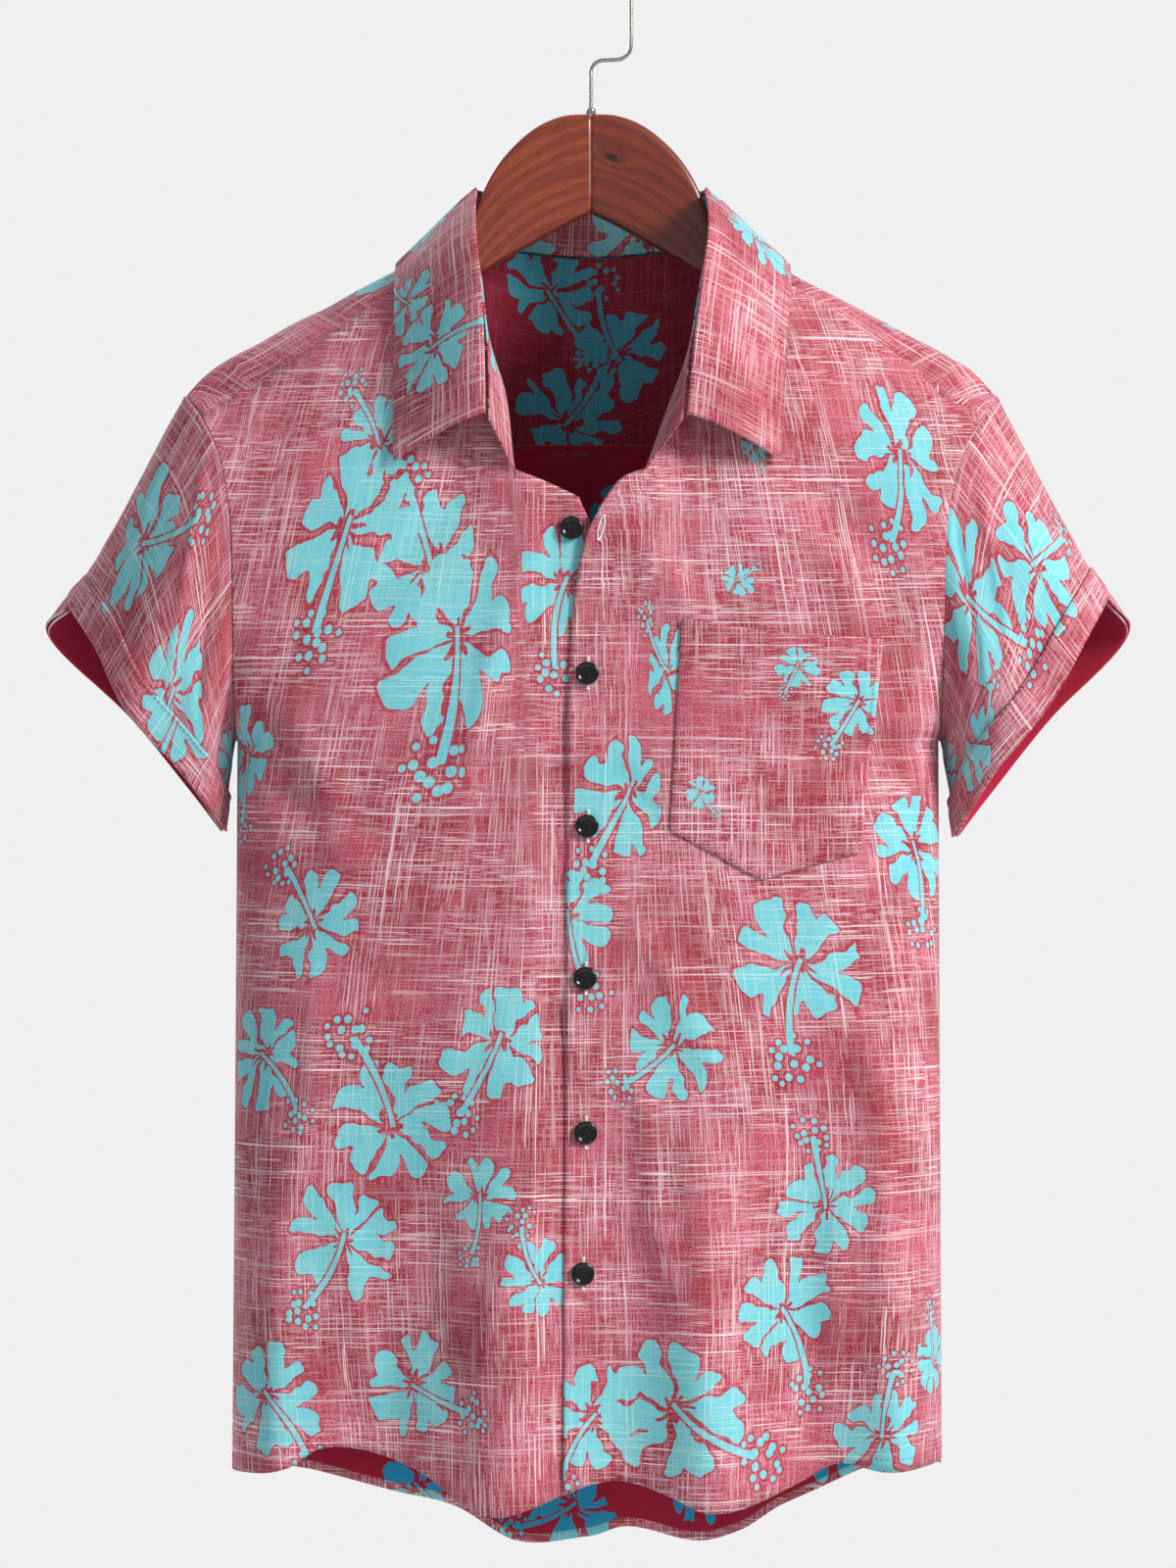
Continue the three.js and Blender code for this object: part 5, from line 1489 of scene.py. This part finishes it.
def stitch_row(name, points, normals, pitch=3.0, length=2.3, radius=0.2, material=None, extra=()):
    """Stitches along points on the cloth; each dips into it at both ends."""
    rows = [np.concatenate((np.asarray(points), np.asarray(normals)), axis=1), *extra]
    parts = []
    for row in rows:
        spots, _ = resample(row, pitch)
        ahead = np.gradient(spots[:, :3], axis=0)
        for spot, along in zip(spots, ahead):
            n = spot[3:] / np.linalg.norm(spot[3:])
            d = along / np.linalg.norm(along)
            path = [spot[:3] + d * length * (t - 0.5) + n * (0.14 if 0 < t < 1 else -0.12) for t in (0, 0.25, 0.75, 1)]
            parts.append(tube(path, [radius * 0.6, radius, radius, radius * 0.6], 5))
    return add_mesh(name, *joined(parts), [material or THREAD_RED], 'printed_cloth')


def grid_line(grid, normal, pick):
    """Points and normals at chosen fractional places (row, column) of a grid."""
    out = []
    for j, i in pick:
        a, b = int(j), int(i)
        a2, b2 = min(a + 1, grid.shape[0] - 1), min(b + 1, grid.shape[1] - 1)
        fj, fi = j - a, i - b
        w = ((a, b, (1 - fj) * (1 - fi)), (a, b2, (1 - fj) * fi), (a2, b, fj * (1 - fi)), (a2, b2, fj * fi))
        p = sum(grid[r, c] * k for r, c, k in w)
        n = sum(normal[r, c] * k for r, c, k in w)
        out.append(np.concatenate((p, n)))
    return np.array(out)


def row_at_gap(grid, gap, end=-1, axis=0):
    """Fractional row (or column) that lies a cloth length in from an end."""
    run = lengths(grid, axis)
    places = []
    count = grid.shape[1 - axis]
    for k in range(count):
        line = run[:, k] if axis == 0 else run[k]
        want = line[-1] - gap if end == -1 else gap
        at = np.interp(want, line, np.arange(len(line)))
        places.append((at, k) if axis == 0 else (k, at))
    return places


def stitched(name, *rows, **kw):
    first, *rest = rows
    return stitch_row(name, first[:, :3], first[:, 3:], extra=rest, **kw)


HEM_RIGHT = stitched('stitches_hem_right', grid_line(GRID_RIGHT, NORMAL_RIGHT, row_at_gap(GRID_RIGHT, 7)))
HEM_LEFT = stitched('stitches_hem_left', grid_line(GRID_LEFT, NORMAL_LEFT, row_at_gap(GRID_LEFT, 7)))
HEM_REAR = stitched('stitches_hem_back', grid_line(GRID_BACK, NORMAL_BACK, row_at_gap(GRID_BACK, 7)))
YOKE_ROWS = stitched('stitches_yoke', grid_line(GRID_YOKE, NORMAL_YOKE, row_at_gap(GRID_YOKE, 1.6)),
                     grid_line(GRID_YOKE, NORMAL_YOKE, row_at_gap(GRID_YOKE, 1.6, end=0)[:36]),
                     grid_line(GRID_YOKE, NORMAL_YOKE, row_at_gap(GRID_YOKE, 1.6, end=0)[-36:]))
LEAF_EDGE = stitched('stitches_collar', grid_line(GRID_LEAF, NORMAL_LEAF, row_at_gap(GRID_LEAF, 5, axis=1)[3:-3]))
for hand in (-1, 1):
    side_name = 'left' if hand > 0 else 'right'
    band = SLEEVES[hand][5]
    band_normal = grid_normals(band, True, sleeve_out(hand))
    closed = np.concatenate((band, band[:, :1]), axis=1)
    closed_normal = np.concatenate((band_normal, band_normal[:, :1]), axis=1)
    stitched('stitches_cuff_' + side_name, grid_line(closed, closed_normal, [(0.6, k) for k in range(closed.shape[1])]))


def pocket_stitches():
    n = GRID_POCKET.shape[0] - 1
    inset = n * 2.5 / POCKET_WIDE
    sides = [(k, inset) for k in np.linspace(1, n - inset, 40)]
    foot = [(n - inset, k) for k in np.linspace(inset, n - inset, 60)]
    back_up = [(k, n - inset) for k in np.linspace(n - inset, 1, 40)]
    outline = grid_line(GRID_POCKET, NORMAL_POCKET, sides + foot + back_up)
    return stitched('stitches_pocket', outline, radius=0.16, pitch=2.6, length=2.0)


POCKET_ROWS = pocket_stitches()


# Buttonholes: two lips of white thread round a slot, barred at both ends
def buttonhole(name, x0, z0, x1, z1, gape):
    centre = np.array(((x0 + x1) / 2, (z0 + z1) / 2))
    way = np.array((x1 - x0, z1 - z0))
    half = np.linalg.norm(way) / 2
    way = way / (2 * half)
    side = np.array((way[1], -way[0]))
    path = []
    for k in even(70):
        t = k * 2 * math.pi
        along = math.copysign(abs(math.cos(t)) ** 0.5, math.cos(t)) * half
        off = math.copysign(abs(math.sin(t)) ** 0.8, math.sin(t)) * (0.5 + gape * max(0.0, 1 - (along / half) ** 2))
        x, z = centre + way * along + side * off
        p, n = FACE_LEFT.at(x, z)
        path.append(p + n * (0.16 + 0.12 * (1 if int(k * 70) % 2 else 0)))
    radii = [0.42 if k % 2 else 0.32 for k in range(71)]
    verts, faces = tube(path, radii, 6)
    bars = []
    for end in (-1, 1):
        x, z = centre + way * half * end
        a, n = FACE_LEFT.at(x - side[0] * 0.9, z - side[1] * 0.9)
        b, _ = FACE_LEFT.at(x + side[0] * 0.9, z + side[1] * 0.9)
        bars.append(tube([a + n * 0.2, (a + b) / 2 + n * 0.45, b + n * 0.2], 0.5, 6))
    lips = add_mesh(name, *joined([(verts, faces), *bars]), [THREAD_WHITE], 'printed_cloth')
    return lips


BUTTONHOLES = [buttonhole('thread_buttonhole_1', 7.0, -318.0, 3.9, -331.0, 0.9)]
for k, (x, z) in enumerate(list(zip(BUTTONS['x'], BUTTONS['z']))[1:], 2):
    BUTTONHOLES.append(buttonhole('thread_buttonhole_%d' % k, x + 0.5, z + 8.6, x + 0.3, z - 8.4, 0.1))


# A loop over both hands that only sets their side names
for hand in (-1, 1):
    side_name = 'left' if hand > 0 else 'right'


# Camera, stage and lights, in metres
camera_data = bpy.data.cameras.new('camera')
camera_data.sensor_width = 36
camera_data.lens = 106.36
camera_data.clip_end = 50
camera = bpy.data.objects.new('camera', camera_data)
camera.location = (-0.00165, -2.6, -0.4647)
camera.rotation_euler = (math.radians(90), 0, 0)
bpy.context.scene.collection.objects.link(camera)
bpy.context.scene.camera = camera

PAPER = plain('backdrop_paper', linear(240, 240, 241), 0.95, spec=0.0)
bpy.ops.mesh.primitive_circle_add(vertices=96, radius=2.0, fill_type='NGON', location=(0, 0, -1.6))
floor = bpy.context.object
floor.name = 'stage_floor'
floor.data.materials.append(PAPER)
bpy.context.scene.view_settings.view_transform = 'Standard'

# Pale paper all round as the camera sees it, softer as a light
world = bpy.data.worlds.new('studio')
world.use_nodes = True
bpy.context.scene.world = world
n = Net(world.node_tree)
seen = n.add('ShaderNodeBackground')
seen.inputs['Color'].default_value = linear(240, 240, 241)
soft = n.add('ShaderNodeBackground')
soft.inputs['Color'].default_value = (0.93, 0.96, 1.0, 1.0)
soft.inputs['Strength'].default_value = 0.43
choose = n.add('ShaderNodeMixShader')
n.put(choose.inputs[0], n.add('ShaderNodeLightPath').outputs['Is Camera Ray'])
n.put(choose.inputs[1], soft.outputs[0])
n.put(choose.inputs[2], seen.outputs[0])
out = n.add('ShaderNodeOutputWorld')
n.put(out.inputs['Surface'], choose.outputs[0])


def area_light(name, location, target, size, power, colour=(1, 1, 1)):
    data = bpy.data.lights.new(name, 'AREA')
    data.shape = 'RECTANGLE'
    data.size, data.size_y = size
    data.energy = power
    data.color = colour
    light = bpy.data.objects.new(name, data)
    light.location = location
    light.rotation_mode = 'QUATERNION'
    light.rotation_quaternion = (Vector(location) - Vector(target)).to_track_quat('Z', 'Y')
    bpy.context.scene.collection.objects.link(light)
    return light


area_light('key', (2.2, -1.55, 1.0), (0, 0, -0.45), (0.7, 0.9), 100, (1.0, 0.98, 0.96))
area_light('rear', (-1.6, 2.2, 1.0), (0, 0, -0.45), (1.2, 1.4), 40)
